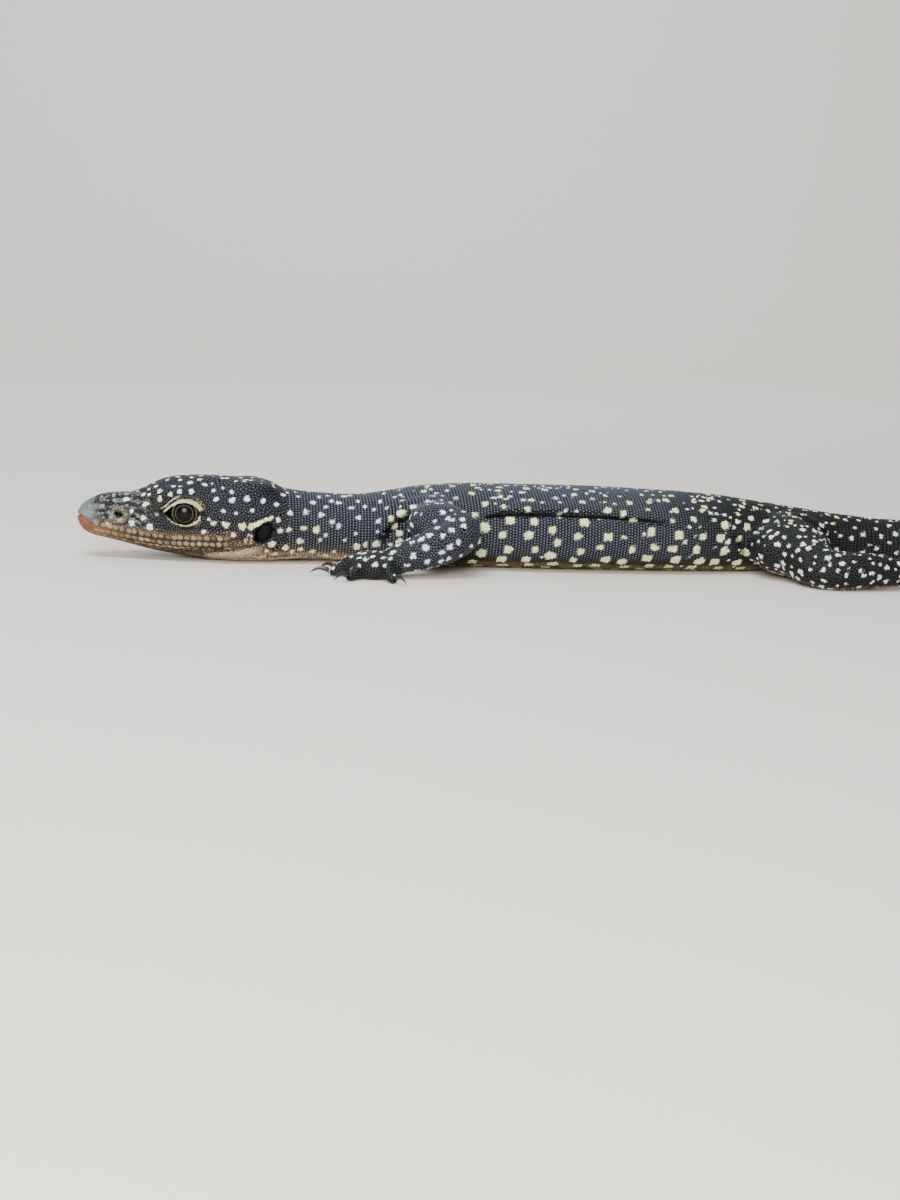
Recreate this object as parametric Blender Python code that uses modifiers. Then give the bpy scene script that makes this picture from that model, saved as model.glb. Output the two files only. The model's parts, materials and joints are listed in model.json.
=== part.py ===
# A young mangrove monitor lying flat on its belly, life size, as a still museum model.
# Design frame while it is built: millimetres, +X from the snout to the tail,
# +Z up from the floor, -Y on the animal's left. The finished objects are in metres.

import bmesh
import bpy
import numpy as np
from math import cos, pi, radians, sin
from mathutils import Matrix, Vector
from mathutils.bvhtree import BVHTree

# Driving dimensions of the whole animal
SNOUT_TO_VENT = 129.0
TAIL_LENGTH = 202.0
HEAD_LENGTH = 33.0
NECK_END = 49.0
GAP = 0.3
FLOOR_SINK = 0.3
METRES = 0.001

# Outline of head, neck and trunk: distance from the snout, half width, top, bottom
BODY_OUTLINE = (
    (0.0, 1.7, 8.5, 4.8),
    (0.8, 2.5, 9.3, 4.1),
    (2.2, 3.0, 10.0, 3.5),
    (4.2, 3.5, 10.8, 3.1),
    (6.4, 3.8, 11.0, 2.6),
    (8.4, 4.2, 11.0, 2.1),
    (11.4, 5.1, 12.4, 1.4),
    (14.0, 5.8, 13.5, 0.9),
    (17.2, 6.2, 14.0, 0.4),
    (21.0, 6.8, 14.1, 0.0),
    (26.0, 7.8, 13.9, -FLOOR_SINK),
    (30.0, 7.5, 13.7, -FLOOR_SINK),
    (34.0, 6.8, 12.1, 0.1),
    (39.0, 6.5, 11.6, 0.4),
    (45.0, 6.9, 11.4, 0.0),
    (51.0, 8.2, 12.2, -FLOOR_SINK),
    (58.0, 9.6, 13.3, -FLOOR_SINK),
    (67.0, 10.6, 13.8, -FLOOR_SINK),
    (84.0, 11.5, 13.8, -FLOOR_SINK),
    (100.0, 10.9, 13.4, -FLOOR_SINK),
    (110.0, 9.4, 12.8, -FLOOR_SINK),
    (118.0, 8.0, 11.8, -0.1),
    (126.0, 6.6, 10.8, 0.4),
    (133.0, 5.3, 10.0, 0.6),
    (141.0, 4.6, 9.3, 0.1),
)
TAIL_START = BODY_OUTLINE[-1][0]
TAIL_ROOT_HALF_WIDTH = BODY_OUTLINE[-1][1]
TAIL_ROOT_TOP = BODY_OUTLINE[-1][2]
TAIL_ROOT_BOTTOM = BODY_OUTLINE[-1][3]
TAIL_TIP_HALF_WIDTH = 0.45
TAIL_TIP_TOP = 1.1
TAIL_TAPER_POWER = 0.9

# The tail leaves the trunk straight and lies in one slow S on the floor
TAIL_BEND_START = 150.0
TAIL_BEND_LENGTH = 96.0
TAIL_BEND_ANGLE = radians(30.0)

# Roundness of the cross sections: 2 is an ellipse, more is boxier
UPPER_ROUNDNESS = 2.15
LOWER_ROUNDNESS = 2.5
RING_POINTS = 48
HEAD_RING_STEP = 0.8
BODY_RING_STEP = 2.0
SPINE_STEP = 0.25
WIDEST_HEIGHT = 0.46
SNOUT_BULGE = -0.6
TAIL_TIP_BULGE = 0.5
TAIL_SETTLE_LENGTH = 20.0

# Lengths that the body is divided into, each with its triangle count; the ends are
# first cut this much too long, and to the gap after the mesh is thinned
ROUGH_MARGIN = 1.0
DIVISIONS = (
    ("head", -5.0, HEAD_LENGTH, 1700),
    ("neck", HEAD_LENGTH, NECK_END, 420),
    ("torso", NECK_END, SNOUT_TO_VENT, 1300),
    ("tail_1", SNOUT_TO_VENT, 168.0, 320),
    ("tail_2", 168.0, 209.0, 260),
    ("tail_3", 209.0, 250.0, 220),
    ("tail_4", 250.0, 291.0, 180),
    ("tail_5", 291.0, SNOUT_TO_VENT + TAIL_LENGTH + 5.0, 140),
)

# Head details: eye, ear, nostril and mouth
EYE_CENTRE = Vector((17.2, -3.75, 8.1))
EYE_RADIUS = 2.6
LID_THICKNESS = 0.62
LID_OPENING = (2.45, 1.8)
EYE_TURN = radians(-8.0)
OPENING_DEPTH = 8.0
EAR_CENTRE = Vector((30.0, -7.9, 5.4))
EAR_RADII = (1.35, 1.8, 2.05)
EAR_TILT = radians(24.0)
EARDRUM_RADII = (0.8, 0.25, 1.35)
EARDRUM_DEPTH = 0.95
NOSTRIL_CENTRE = Vector((6.3, -3.6, 7.5))
NOSTRIL_RADII = (0.95, 0.8, 0.5)
NOSTRIL_TILT = radians(28.0)
NOSTRIL_RIM_RADII = (1.7, 0.9, 1.3)
NOSTRIL_RIM_INSET = 0.7
MOUTH_LINE = ((0.0, 6.9), (1.3, 6.0), (2.7, 5.3), (8.2, 4.3), (11.5, 3.9),
              (15.3, 3.6), (21.2, 3.7), (24.3, 3.9))
MOUTH_GROOVE_RADIUS = 0.26
MOUTH_TURN_X = 6.0
MOUTH_POINT_STEP = 1.6
MOUTH_TURN_POINTS = 9
RAY_START = 20.0
LIP_SWELL = 0.22
LIP_SPREAD = 0.75

# Swellings fused with the trunk before it is smoothed: centre (left side), radii
SWELLINGS = (
    ("brow", (16.6, -3.9, 11.4), (4.2, 1.6, 1.3)),
    ("jaw muscle", (25.2, -5.3, 6.0), (5.4, 2.7, 4.6)),
    ("nape", (27.6, -3.2, 12.0), (4.6, 3.0, 1.8)),
    ("shoulder", (57.5, -6.8, 8.0), (7.0, 3.4, 4.4)),
    ("hip", (120.5, -5.6, 6.5), (8.0, 3.4, 4.4)),
)
BODY_VOXEL = 0.4
BODY_SMOOTHING = 7
LIMB_VOXEL = 0.3
LIMB_SMOOTHING = 5

# Front limb, left side: points on its bones, the flesh's radius at each, and muscles
ARM_PATH = ((54.5, -4.5, 8.2), (58.6, -9.8, 8.3), (61.4, -14.4, 6.9), (56.8, -16.6, 4.9),
            (51.0, -17.4, 3.1))
ARM_RADII = (3.7, 3.6, 3.5, 3.3, 2.6)
ARM_MUSCLES = (((58.0, -11.2, 8.0), (5.0, 3.6, 3.7)),)
PALM_CENTRE = (46.9, -17.6, 1.7)
PALM_RADII = (4.8, 3.4, 2.9)
HAND_CLAW_ROOTS = ((45.0, -12.6), (41.4, -13.4), (40.0, -17.0), (42.4, -21.6), (49.6, -23.4))
HAND_DIGIT_RADII = (1.0, 1.05, 1.1, 1.1, 1.05)
HAND_ARCH = 1.7
HAND_CLAW_LENGTH = 2.9

# Hind limb, left side
LEG_PATH = ((119.5, -3.5, 6.4), (119.8, -12.0, 5.4), (121.8, -21.0, 3.3), (129.6, -21.4, 3.2),
            (138.0, -19.8, 2.6))
LEG_RADII = (5.0, 4.9, 3.7, 3.1, 2.2)
LEG_MUSCLES = (((119.4, -11.0, 5.2), (7.2, 6.6, 4.8)), ((129.4, -21.2, 3.1), (4.6, 3.1, 3.0)))
SOLE_CENTRE = (143.6, -22.4, 1.3)
SOLE_RADII = (5.4, 3.1, 2.1)
SOLE_TURN = radians(-26.0)
FOOT_CLAW_ROOTS = ((145.6, -30.2), (151.4, -32.2), (157.2, -31.4), (160.6, -27.2), (152.2, -19.6))
FOOT_DIGIT_RADII = (1.0, 1.1, 1.15, 1.15, 1.05)
FOOT_ARCH = 1.2
FOOT_CLAW_LENGTH = 3.1

# The right limbs mirror the left ones, set a little further forward or back. Each bone
# point moves by its share of the step.
RIGHT_HAND_STEP = 3.0
RIGHT_FOOT_STEP = -4.0
STEP_SHARES = (0.0, 0.0, 0.0, 0.5, 1.0)
JOINT_SHARE = 0.99
LIMB_MARGIN = 0.8
TORSO_CLEARANCE = GAP * 1.3

# Digits: radius along each one as a share of its own, and where the knuckles are
DIGIT_THICKNESS = (1.25, 1.1, 0.95, 0.8)
DIGIT_TIP_SHARE = 0.85
KNUCKLE_AT = 0.5
LAST_JOINT_AT = 0.85
PALM_HEIGHT = 1.3
DIGIT_END_HEIGHT = 0.65

# Claws: an arched taper, and the ring of skin cut back round each root
CLAW_ROOT_RADIUS = 0.52
CLAW_TIP_RADIUS = 0.13
CLAW_TAPER_POWER = 0.9
CLAW_RISE = 0.45
CLAW_DROP_POWER = 2.2
CLAW_TIP_HEIGHT = 0.4
CLAW_ROOT_HEIGHT = 0.95
CLAW_POINTS = 5
CLAW_ROOT_OUT = GAP + 0.25
CLEARANCE_RADIUS = 1.5
CLEARANCE_LENGTH = 3.0
LIMB_TRIANGLES = {"upper_arm": 240, "forearm": 280, "hand": 680,
                  "thigh": 300, "shank": 280, "foot": 760}

# Node colours: linear base colour, roughness; edges sharper than the angle stay crisp
CRISP_ANGLE = radians(50.0)
FINISHES = {
    "scaled_skin": ((0.020, 0.026, 0.045, 1.0), 0.45),
    "claw_horn": ((0.035, 0.024, 0.020, 1.0), 0.35),
    "eye": ((0.012, 0.009, 0.008, 1.0), 0.08),
    "eardrum": ((0.060, 0.050, 0.048, 1.0), 0.35),
}


# Scene and collections
for stale in list(bpy.data.objects):
    bpy.data.objects.remove(stale, do_unlink=True)
MODEL = bpy.data.collections.new("mangrove_monitor")
CUTTERS = bpy.data.collections.new("cutters")
for collection in (MODEL, CUTTERS):
    bpy.context.scene.collection.children.link(collection)


def new_object(name, mesh):
    """An object for a mesh, kept with the cutters until the assembly is finished."""
    thing = bpy.data.objects.new(name, mesh)
    CUTTERS.objects.link(thing)
    thing.hide_render = True
    thing.display_type = "WIRE"
    return thing


def discard(*things):
    for thing in things:
        bpy.data.objects.remove(thing, do_unlink=True)


def bake(thing, kind, **settings):
    """Adds one modifier to an object and applies it."""
    modifier = thing.modifiers.new(kind.lower(), kind)
    for key, value in settings.items():
        setattr(modifier, key, value)
    evaluated = thing.evaluated_get(bpy.context.evaluated_depsgraph_get())
    mesh = bpy.data.meshes.new_from_object(evaluated)
    thing.modifiers.clear()
    thing.data = mesh


def combine(thing, other, operation, solver="EXACT"):
    """One Boolean, after which only the largest closed surface is kept."""
    bake(thing, "BOOLEAN", object=other, operation=operation, solver=solver)
    keep_largest(thing)


def keep_largest(thing):
    shape = bmesh.new()
    shape.from_mesh(thing.data)
    unseen = set(shape.verts)
    islands = []
    while unseen:
        island = {unseen.pop()}
        front = list(island)
        while front:
            for edge in front.pop().link_edges:
                for vert in edge.verts:
                    if vert in unseen:
                        unseen.remove(vert)
                        island.add(vert)
                        front.append(vert)
        islands.append(island)
    islands.sort(key=len)
    bmesh.ops.delete(shape, geom=[v for island in islands[:-1] for v in island], context="VERTS")
    bmesh.ops.triangulate(shape, faces=shape.faces[:])
    shape.to_mesh(thing.data)
    shape.free()


def trim(thing, point, normal):
    """Cuts away what lies beyond a plane and closes the cut with flat faces."""
    shape = bmesh.new()
    shape.from_mesh(thing.data)
    everything = shape.verts[:] + shape.edges[:] + shape.faces[:]
    bmesh.ops.bisect_plane(shape, geom=everything, plane_co=point, plane_no=normal,
                           clear_outer=True, dist=0.0001)
    rim = [edge for edge in shape.edges if edge.is_boundary]
    bmesh.ops.holes_fill(shape, edges=rim, sides=0)
    bmesh.ops.dissolve_degenerate(shape, edges=shape.edges[:], dist=0.002)
    bmesh.ops.triangulate(shape, faces=shape.faces[:])
    bmesh.ops.recalc_face_normals(shape, faces=shape.faces[:])
    shape.to_mesh(thing.data)
    shape.free()


def duplicate(thing, name):
    return new_object(name, thing.data.copy())


def ellipsoid(name, centre, radii, tilt=0.0, turn=0.0, segments=24, rings=14):
    """A sphere drawn out to three radii, tilted about Y and turned about Z."""
    shape = bmesh.new()
    bmesh.ops.create_uvsphere(shape, u_segments=segments, v_segments=rings, radius=1.0)
    place = Matrix.Translation(centre) @ Matrix.Rotation(turn, 4, "Z") @ Matrix.Rotation(tilt, 4, "Y")
    bmesh.ops.transform(shape, matrix=place @ Matrix.Diagonal((*radii, 1.0)), verts=shape.verts[:])
    mesh = bpy.data.meshes.new(name)
    shape.to_mesh(mesh)
    shape.free()
    return new_object(name, mesh)


def tube(name, points, radii, sides=2):
    """A round curve through the points, with a radius at each, made a closed mesh."""
    curve = bpy.data.curves.new(name, "CURVE")
    curve.dimensions = "3D"
    curve.bevel_depth = 1.0
    curve.bevel_resolution = sides
    curve.use_fill_caps = True
    spline = curve.splines.new("POLY")
    spline.points.add(len(points) - 1)
    for spot, point, radius in zip(spline.points, points, radii):
        spot.co = (*point, 1.0)
        spot.radius = radius
    drawn = new_object(name + "_curve", curve)
    evaluated = drawn.evaluated_get(bpy.context.evaluated_depsgraph_get())
    mesh = bpy.data.meshes.new_from_object(evaluated)
    discard(drawn)
    shape = bmesh.new()
    shape.from_mesh(mesh)
    bmesh.ops.remove_doubles(shape, verts=shape.verts[:], dist=0.0001)
    bmesh.ops.recalc_face_normals(shape, faces=shape.faces[:])
    shape.to_mesh(mesh)
    shape.free()
    return new_object(name, mesh)


def joined(name, pieces):
    """Several closed shapes in one mesh, for the remesh that fuses them."""
    shape = bmesh.new()
    for piece in pieces:
        shape.from_mesh(piece.data)
    mesh = bpy.data.meshes.new(name)
    shape.to_mesh(mesh)
    shape.free()
    discard(*pieces)
    return new_object(name, mesh)


def fuse(thing, voxel, smoothing):
    bake(thing, "REMESH", mode="VOXEL", voxel_size=voxel)
    bake(thing, "SMOOTH", factor=0.5, iterations=smoothing)
    keep_largest(thing)


def thin_out(thing, triangles):
    bake(thing, "DECIMATE", ratio=min(1.0, triangles / len(thing.data.polygons)))
    keep_largest(thing)


def smooth_line(knots, value):
    """The height of a smooth line through (position, value, ...) knots, without overshoot."""
    positions = [knot[0] for knot in knots]
    index = int(np.clip(np.searchsorted(positions, value) - 1, 0, len(knots) - 2))

    def slope(at):
        if at == 0 or at == len(knots) - 1:
            return np.zeros(len(knots[0]) - 1)
        before = np.subtract(knots[at][1:], knots[at - 1][1:]) / (positions[at] - positions[at - 1])
        after = np.subtract(knots[at + 1][1:], knots[at][1:]) / (positions[at + 1] - positions[at])
        same_way = before * after > 0
        total = np.where(same_way, before + after, 1.0)
        return np.where(same_way, 2.0 * before * after / total, 0.0)

    span = positions[index + 1] - positions[index]
    t = float(np.clip((value - positions[index]) / span, 0.0, 1.0))
    start, end = np.array(knots[index][1:]), np.array(knots[index + 1][1:])
    return ((2 * t**3 - 3 * t**2 + 1) * start + (t**3 - 2 * t**2 + t) * span * slope(index)
            + (3 * t**2 - 2 * t**3) * end + (t**3 - t**2) * span * slope(index + 1))


# Spine, outline and cross sections
def spine_heading(distance):
    """Which way the body points at a distance from the snout, seen from above."""
    if distance < TAIL_BEND_START:
        return 0.0
    return TAIL_BEND_ANGLE * sin(pi * (distance - TAIL_BEND_START) / TAIL_BEND_LENGTH)


def spine_place(distance):
    """The point of the mid line on the floor at a distance from the snout."""
    if distance < TAIL_BEND_START:
        return Vector((distance, 0.0, 0.0))
    place = Vector((TAIL_BEND_START, 0.0, 0.0))
    steps = max(1, round((distance - TAIL_BEND_START) / SPINE_STEP))
    step = (distance - TAIL_BEND_START) / steps
    for number in range(steps):
        heading = spine_heading(TAIL_BEND_START + (number + 0.5) * step)
        place += Vector((cos(heading), sin(heading), 0.0)) * step
    return place


def outline(distance):
    """Half width, top and bottom of the body at a distance from the snout."""
    if distance <= TAIL_START:
        return smooth_line(BODY_OUTLINE, distance)
    left = 1.0 - (distance - TAIL_START) / (SNOUT_TO_VENT + TAIL_LENGTH - TAIL_START)
    share = max(left, 0.0) ** TAIL_TAPER_POWER
    half_width = TAIL_TIP_HALF_WIDTH + (TAIL_ROOT_HALF_WIDTH - TAIL_TIP_HALF_WIDTH) * share
    top = TAIL_TIP_TOP + (TAIL_ROOT_TOP - TAIL_TIP_TOP) * share
    settle = min(1.0, (distance - TAIL_START) / TAIL_SETTLE_LENGTH)
    bottom = TAIL_ROOT_BOTTOM - (FLOOR_SINK + TAIL_ROOT_BOTTOM) * settle
    return np.array((half_width, top, bottom))


def section(distance):
    """One ring of the body, as points in the design frame."""
    half_width, top, bottom = outline(distance)
    widest = bottom + (top - bottom) * WIDEST_HEIGHT
    heading = spine_heading(distance)
    sideways = Vector((-sin(heading), cos(heading), 0.0))
    ring = []
    for number in range(RING_POINTS):
        angle = 2 * pi * number / RING_POINTS
        across, up = cos(angle), sin(angle)
        power = 2.0 / (UPPER_ROUNDNESS if up > 0 else LOWER_ROUNDNESS)
        reach = (top - widest) if up > 0 else (widest - bottom)
        place = spine_place(distance) + sideways * half_width * np.sign(across) * abs(across) ** power
        ring.append(place + Vector((0.0, 0.0, widest + reach * np.sign(up) * abs(up) ** power)))
    return ring


def body_loft():
    """The whole axis of the animal, from the snout to the tip of the tail."""
    end = SNOUT_TO_VENT + TAIL_LENGTH
    stations = list(np.arange(0.0, HEAD_LENGTH, HEAD_RING_STEP)) + list(
        np.arange(HEAD_LENGTH, end, BODY_RING_STEP)) + [end]
    shape = bmesh.new()
    rings = [[shape.verts.new(point) for point in section(station)] for station in stations]
    for near, far in zip(rings, rings[1:]):
        for number in range(RING_POINTS):
            after = (number + 1) % RING_POINTS
            shape.faces.new((near[number], far[number], far[after], near[after]))
    for ring, bulge in ((rings[0], SNOUT_BULGE), (rings[-1], TAIL_TIP_BULGE)):
        middle = sum((vert.co for vert in ring), Vector()) / RING_POINTS
        tip = shape.verts.new(middle + Vector((bulge, 0.0, 0.0)))
        for number in range(RING_POINTS):
            shape.faces.new((ring[number], ring[(number + 1) % RING_POINTS], tip))
    bmesh.ops.recalc_face_normals(shape, faces=shape.faces[:])
    mesh = bpy.data.meshes.new("body_loft")
    shape.to_mesh(mesh)
    shape.free()
    return new_object("body_loft", mesh)


def mirrored(point):
    return Vector((point[0], -point[1], point[2]))


def raise_lips(body):
    """Swells the skin on both sides of the mouth's line."""
    points = np.empty(len(body.data.vertices) * 3)
    body.data.vertices.foreach_get("co", points)
    points = points.reshape(-1, 3)
    for vert in body.data.vertices:
        if vert.co.x < MOUTH_LINE[-1][0]:
            away = vert.co.z - smooth_line(MOUTH_LINE, max(vert.co.x, 0.0))[0]
            lift = LIP_SWELL * np.exp(-((away / LIP_SPREAD) ** 2))
            points[vert.index] += np.array(vert.normal) * lift
    body.data.vertices.foreach_set("co", points.reshape(-1))


def make_body():
    pieces = [body_loft()]
    for name, centre, radii in SWELLINGS:
        for middle in (Vector(centre), mirrored(centre)):
            pieces.append(ellipsoid(name, middle, radii))
    for middle in (NOSTRIL_CENTRE, mirrored(NOSTRIL_CENTRE)):
        inward = Vector((0.0, -np.sign(middle.y) * NOSTRIL_RIM_INSET, 0.0))
        pieces.append(ellipsoid("nostril rim", middle + inward, NOSTRIL_RIM_RADII, NOSTRIL_TILT))
    body = joined("body", pieces)
    fuse(body, BODY_VOXEL, BODY_SMOOTHING)
    raise_lips(body)
    return body


def divide(body):
    """Parts the body across its spine, with the gap between neighbours."""
    nodes = {}
    for name, start, end, triangles in DIVISIONS:
        piece = duplicate(body, name)
        for distance, way, first in ((start, -1.0, "head"), (end, 1.0, "tail_5")):
            if name != first:
                heading = spine_heading(distance)
                along = Vector((cos(heading), sin(heading), 0.0)) * way
                trim(piece, spine_place(distance) + along * ROUGH_MARGIN, along)
        keep_largest(piece)
        thin_out(piece, triangles)
        for distance, way, first in ((start, -1.0, "head"), (end, 1.0, "tail_5")):
            if name != first:
                heading = spine_heading(distance)
                along = Vector((cos(heading), sin(heading), 0.0)) * way
                trim(piece, spine_place(distance) - along * GAP / 2, along)
        trim(piece, Vector(), Vector((0.0, 0.0, -1.0)))
        keep_largest(piece)
        nodes[name] = piece
    return nodes


# Head: eyes in their lids, ears, nostrils and the mouth
def eye_frame(side):
    """The eye's place, with its local -Y pointing out of the head on the left."""
    centre = EYE_CENTRE if side == "left" else mirrored(EYE_CENTRE)
    turn = EYE_TURN if side == "left" else pi - EYE_TURN
    return Matrix.Translation(centre) @ Matrix.Rotation(turn, 4, "Z")


def lid_opening(side):
    """An oval rod, out through the lids along the eye's axis."""
    shape = bmesh.new()
    bmesh.ops.create_cone(shape, cap_ends=True, segments=20, radius1=1.0, radius2=1.0,
                          depth=OPENING_DEPTH)
    stand = Matrix.Rotation(pi / 2, 4, "X") @ Matrix.Translation((0.0, 0.0, OPENING_DEPTH / 2))
    oval = Matrix.Diagonal((LID_OPENING[0], 1.0, LID_OPENING[1], 1.0))
    bmesh.ops.transform(shape, matrix=eye_frame(side) @ oval @ stand, verts=shape.verts[:])
    mesh = bpy.data.meshes.new("lid_opening")
    shape.to_mesh(mesh)
    shape.free()
    return new_object("lid_opening", mesh)


def mouth_route(head):
    """Points on the head's skin along the mouth, from one corner round to the other."""
    tree = BVHTree.FromPolygons([v.co for v in head.data.vertices],
                                [tuple(p.vertices) for p in head.data.polygons])
    route = []
    for distance in np.arange(MOUTH_LINE[-1][0], MOUTH_TURN_X, -MOUTH_POINT_STEP):
        height = smooth_line(MOUTH_LINE, distance)[0]
        route.append(tree.ray_cast(Vector((distance, -RAY_START, height)), Vector((0.0, 1.0, 0.0)))[0])
    for angle in np.linspace(-pi / 2, 0.0, MOUTH_TURN_POINTS):
        outward = Vector((-cos(angle), sin(angle), 0.0))
        distance = MOUTH_TURN_X
        for _ in range(3):
            height = smooth_line(MOUTH_LINE, max(distance, 0.0))[0]
            start = Vector((MOUTH_TURN_X, 0.0, height)) + outward * RAY_START
            hit = tree.ray_cast(start, -outward)[0]
            distance = hit.x
        route.append(hit)
    return route + [mirrored(point) for point in reversed(route[:-1])]


def finish_head(head):
    nodes = {}
    route = mouth_route(head)
    groove = tube("mouth_groove", route, [MOUTH_GROOVE_RADIUS] * len(route), 1)
    for side in ("left", "right"):
        frame = eye_frame(side)
        bulge = ellipsoid("lids", frame.translation, [EYE_RADIUS + LID_THICKNESS] * 3, 0.0, 0.0, 22, 14)
        socket = ellipsoid("socket", frame.translation, [EYE_RADIUS + GAP] * 3, 0.0, 0.0, 20, 12)
        opening = lid_opening(side)
        combine(head, bulge, "UNION", "MANIFOLD")
        combine(head, opening, "DIFFERENCE", "MANIFOLD")
        combine(head, socket, "DIFFERENCE", "MANIFOLD")
        flip = 1.0 if side == "left" else -1.0
        ear = Vector((EAR_CENTRE.x, EAR_CENTRE.y * flip, EAR_CENTRE.z))
        cup = ellipsoid("ear_cup", ear, EAR_RADII, EAR_TILT, 0.0, 16, 10)
        combine(head, cup, "DIFFERENCE", "MANIFOLD")
        nostril = Vector((NOSTRIL_CENTRE.x, NOSTRIL_CENTRE.y * flip, NOSTRIL_CENTRE.z))
        hole = ellipsoid("nostril", nostril, NOSTRIL_RADII, NOSTRIL_TILT, 0.0, 12, 8)
        combine(head, hole, "DIFFERENCE", "MANIFOLD")
        nodes["eye_" + side] = ellipsoid("eye_" + side, frame.translation, [EYE_RADIUS] * 3,
                                         0.0, 0.0, 16, 9)
        inner = ear + Vector((0.0, EARDRUM_DEPTH * flip, 0.0))
        nodes["eardrum_" + side] = ellipsoid("eardrum_" + side, inner, EARDRUM_RADII, EAR_TILT,
                                             0.0, 12, 6)
        discard(bulge, socket, opening, cup, hole)
    combine(head, groove, "DIFFERENCE", "MANIFOLD")
    discard(groove)
    return nodes


# Limbs
def through(points, radii, per_span=5):
    """A smooth path through the points, with its radii, by Catmull-Rom spans."""
    rows = [np.array((*point, radius)) for point, radius in zip(points, radii)]
    rows = [2 * rows[0] - rows[1]] + rows + [2 * rows[-1] - rows[-2]]
    path = []
    for index in range(1, len(rows) - 2):
        a, b, c, d = rows[index - 1:index + 3]
        for t in np.arange(0.0, 1.0, 1.0 / per_span):
            path.append(0.5 * (2 * b + (c - a) * t + (2 * a - 5 * b + 4 * c - d) * t**2
                               + (3 * b - a - 3 * c + d) * t**3))
    path.append(rows[-2])
    return [Vector(row[:3]) for row in path], [row[3] for row in path]


def digit_path(palm, claw_root, arch):
    """From inside the palm over the knuckle to the claw's root."""
    start = Vector((*palm[:2], PALM_HEIGHT))
    end = Vector((*claw_root[:2], DIGIT_END_HEIGHT))
    flat = end - start
    knuckle = start + flat * KNUCKLE_AT + Vector((0.0, 0.0, arch))
    last = start + flat * LAST_JOINT_AT
    return start, knuckle, last, end


def claw(name, toe_end, direction, length):
    """A curved, tapering claw, from its root down to just above the floor."""
    points = []
    radii = []
    for t in np.linspace(0.0, 1.0, CLAW_POINTS):
        drop = (CLAW_ROOT_HEIGHT - CLAW_TIP_HEIGHT) * t**CLAW_DROP_POWER - CLAW_RISE * sin(pi * t)
        points.append(Vector((toe_end.x, toe_end.y, CLAW_ROOT_HEIGHT - drop))
                      + direction * (length * t))
        radii.append(CLAW_ROOT_RADIUS + (CLAW_TIP_RADIUS - CLAW_ROOT_RADIUS) * t**CLAW_TAPER_POWER)
    return tube(name, points, radii, 1)


def limb(side, kind, path, radii, muscles, palm, palm_radii, palm_turn, roots, digit_radii,
         arch, claw_length, step, body_nodes):
    """One leg in three lengths with its five claws, its root cut to fit the trunk."""
    flip = 1.0 if side == "left" else -1.0
    move = step if side == "right" else 0.0

    def put(point, share=1.0):
        return (point[0] + move * share, point[1] * flip, *point[2:])

    bones = [put(point, share) for point, share in zip(path, STEP_SHARES)]
    pieces = [tube("flesh", *through(bones, radii), 3)]
    for point, radius in zip(bones, radii):
        pieces.append(ellipsoid("joint", point, [radius * JOINT_SHARE] * 3, 0.0, 0.0, 16, 10))
    for centre, muscle_radii in muscles:
        pieces.append(ellipsoid("muscle", put(centre, 0.0), muscle_radii))
    middle = put(palm)
    pieces.append(ellipsoid("palm", middle, palm_radii, 0.0, palm_turn * flip, 20, 12))
    ends = []
    for root, radius in zip(roots, digit_radii):
        points = digit_path(middle, put(root), arch)
        thick = [radius * share for share in DIGIT_THICKNESS]
        pieces.append(tube("digit", *through(points, thick, 4), 2))
        heading = Vector((points[-1].x - points[0].x, points[-1].y - points[0].y, 0.0)).normalized()
        pieces.append(ellipsoid("tip", points[-1], [radius * DIGIT_TIP_SHARE] * 3, 0.0, 0.0, 12, 8))
        ends.append((points[-1], heading))
    whole = joined(kind[0], pieces)
    fuse(whole, LIMB_VOXEL, LIMB_SMOOTHING)

    bone = [Vector(point) for point in bones]
    first = (bone[2] - bone[1]).normalized()
    second = (bone[4] - bone[3]).normalized()
    cuts = ((bone[2], (first + second).normalized()), (bone[4], second))
    nodes = {}
    for index, name in enumerate(kind):
        piece = duplicate(whole, name)
        planes = []
        if index > 0:
            planes.append((cuts[index - 1][0], -cuts[index - 1][1]))
        if index < 2:
            planes.append((cuts[index][0], cuts[index][1]))
        for point, normal in planes:
            trim(piece, point + normal * LIMB_MARGIN, normal)
        keep_largest(piece)
        thin_out(piece, LIMB_TRIANGLES[name])
        for point, normal in planes:
            trim(piece, point - normal * GAP / 2, normal)
        trim(piece, Vector(), Vector((0.0, 0.0, -1.0)))
        keep_largest(piece)
        nodes[name + "_" + side] = piece
    discard(whole)

    root_piece = nodes[kind[0] + "_" + side]
    for neighbour in body_nodes:
        swollen = duplicate(neighbour, "swollen")
        for vert in swollen.data.vertices:
            vert.co += vert.normal * TORSO_CLEARANCE
        combine(root_piece, swollen, "DIFFERENCE")
        discard(swollen)

    foot = nodes[kind[2] + "_" + side]
    for number, (end, heading) in enumerate(ends, start=1):
        start = Vector((end.x, end.y, CLAW_ROOT_HEIGHT)) + heading * CLAW_ROOT_OUT
        nodes["claw_%s_%d_%s" % (kind[2], number, side)] = claw("claw", start, heading, claw_length)
        shape = bmesh.new()
        bmesh.ops.create_cone(shape, cap_ends=True, segments=12, radius1=CLEARANCE_RADIUS,
                              radius2=CLEARANCE_RADIUS, depth=CLEARANCE_LENGTH)
        lie = heading.to_track_quat("Z", "Y").to_matrix().to_4x4()
        centre = start + heading * (CLEARANCE_LENGTH / 2 - GAP)
        bmesh.ops.transform(shape, matrix=Matrix.Translation(centre) @ lie, verts=shape.verts[:])
        mesh = bpy.data.meshes.new("claw_clearance")
        shape.to_mesh(mesh)
        shape.free()
        clearance = new_object("claw_clearance", mesh)
        combine(foot, clearance, "DIFFERENCE")
        discard(clearance)
    return nodes


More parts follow.
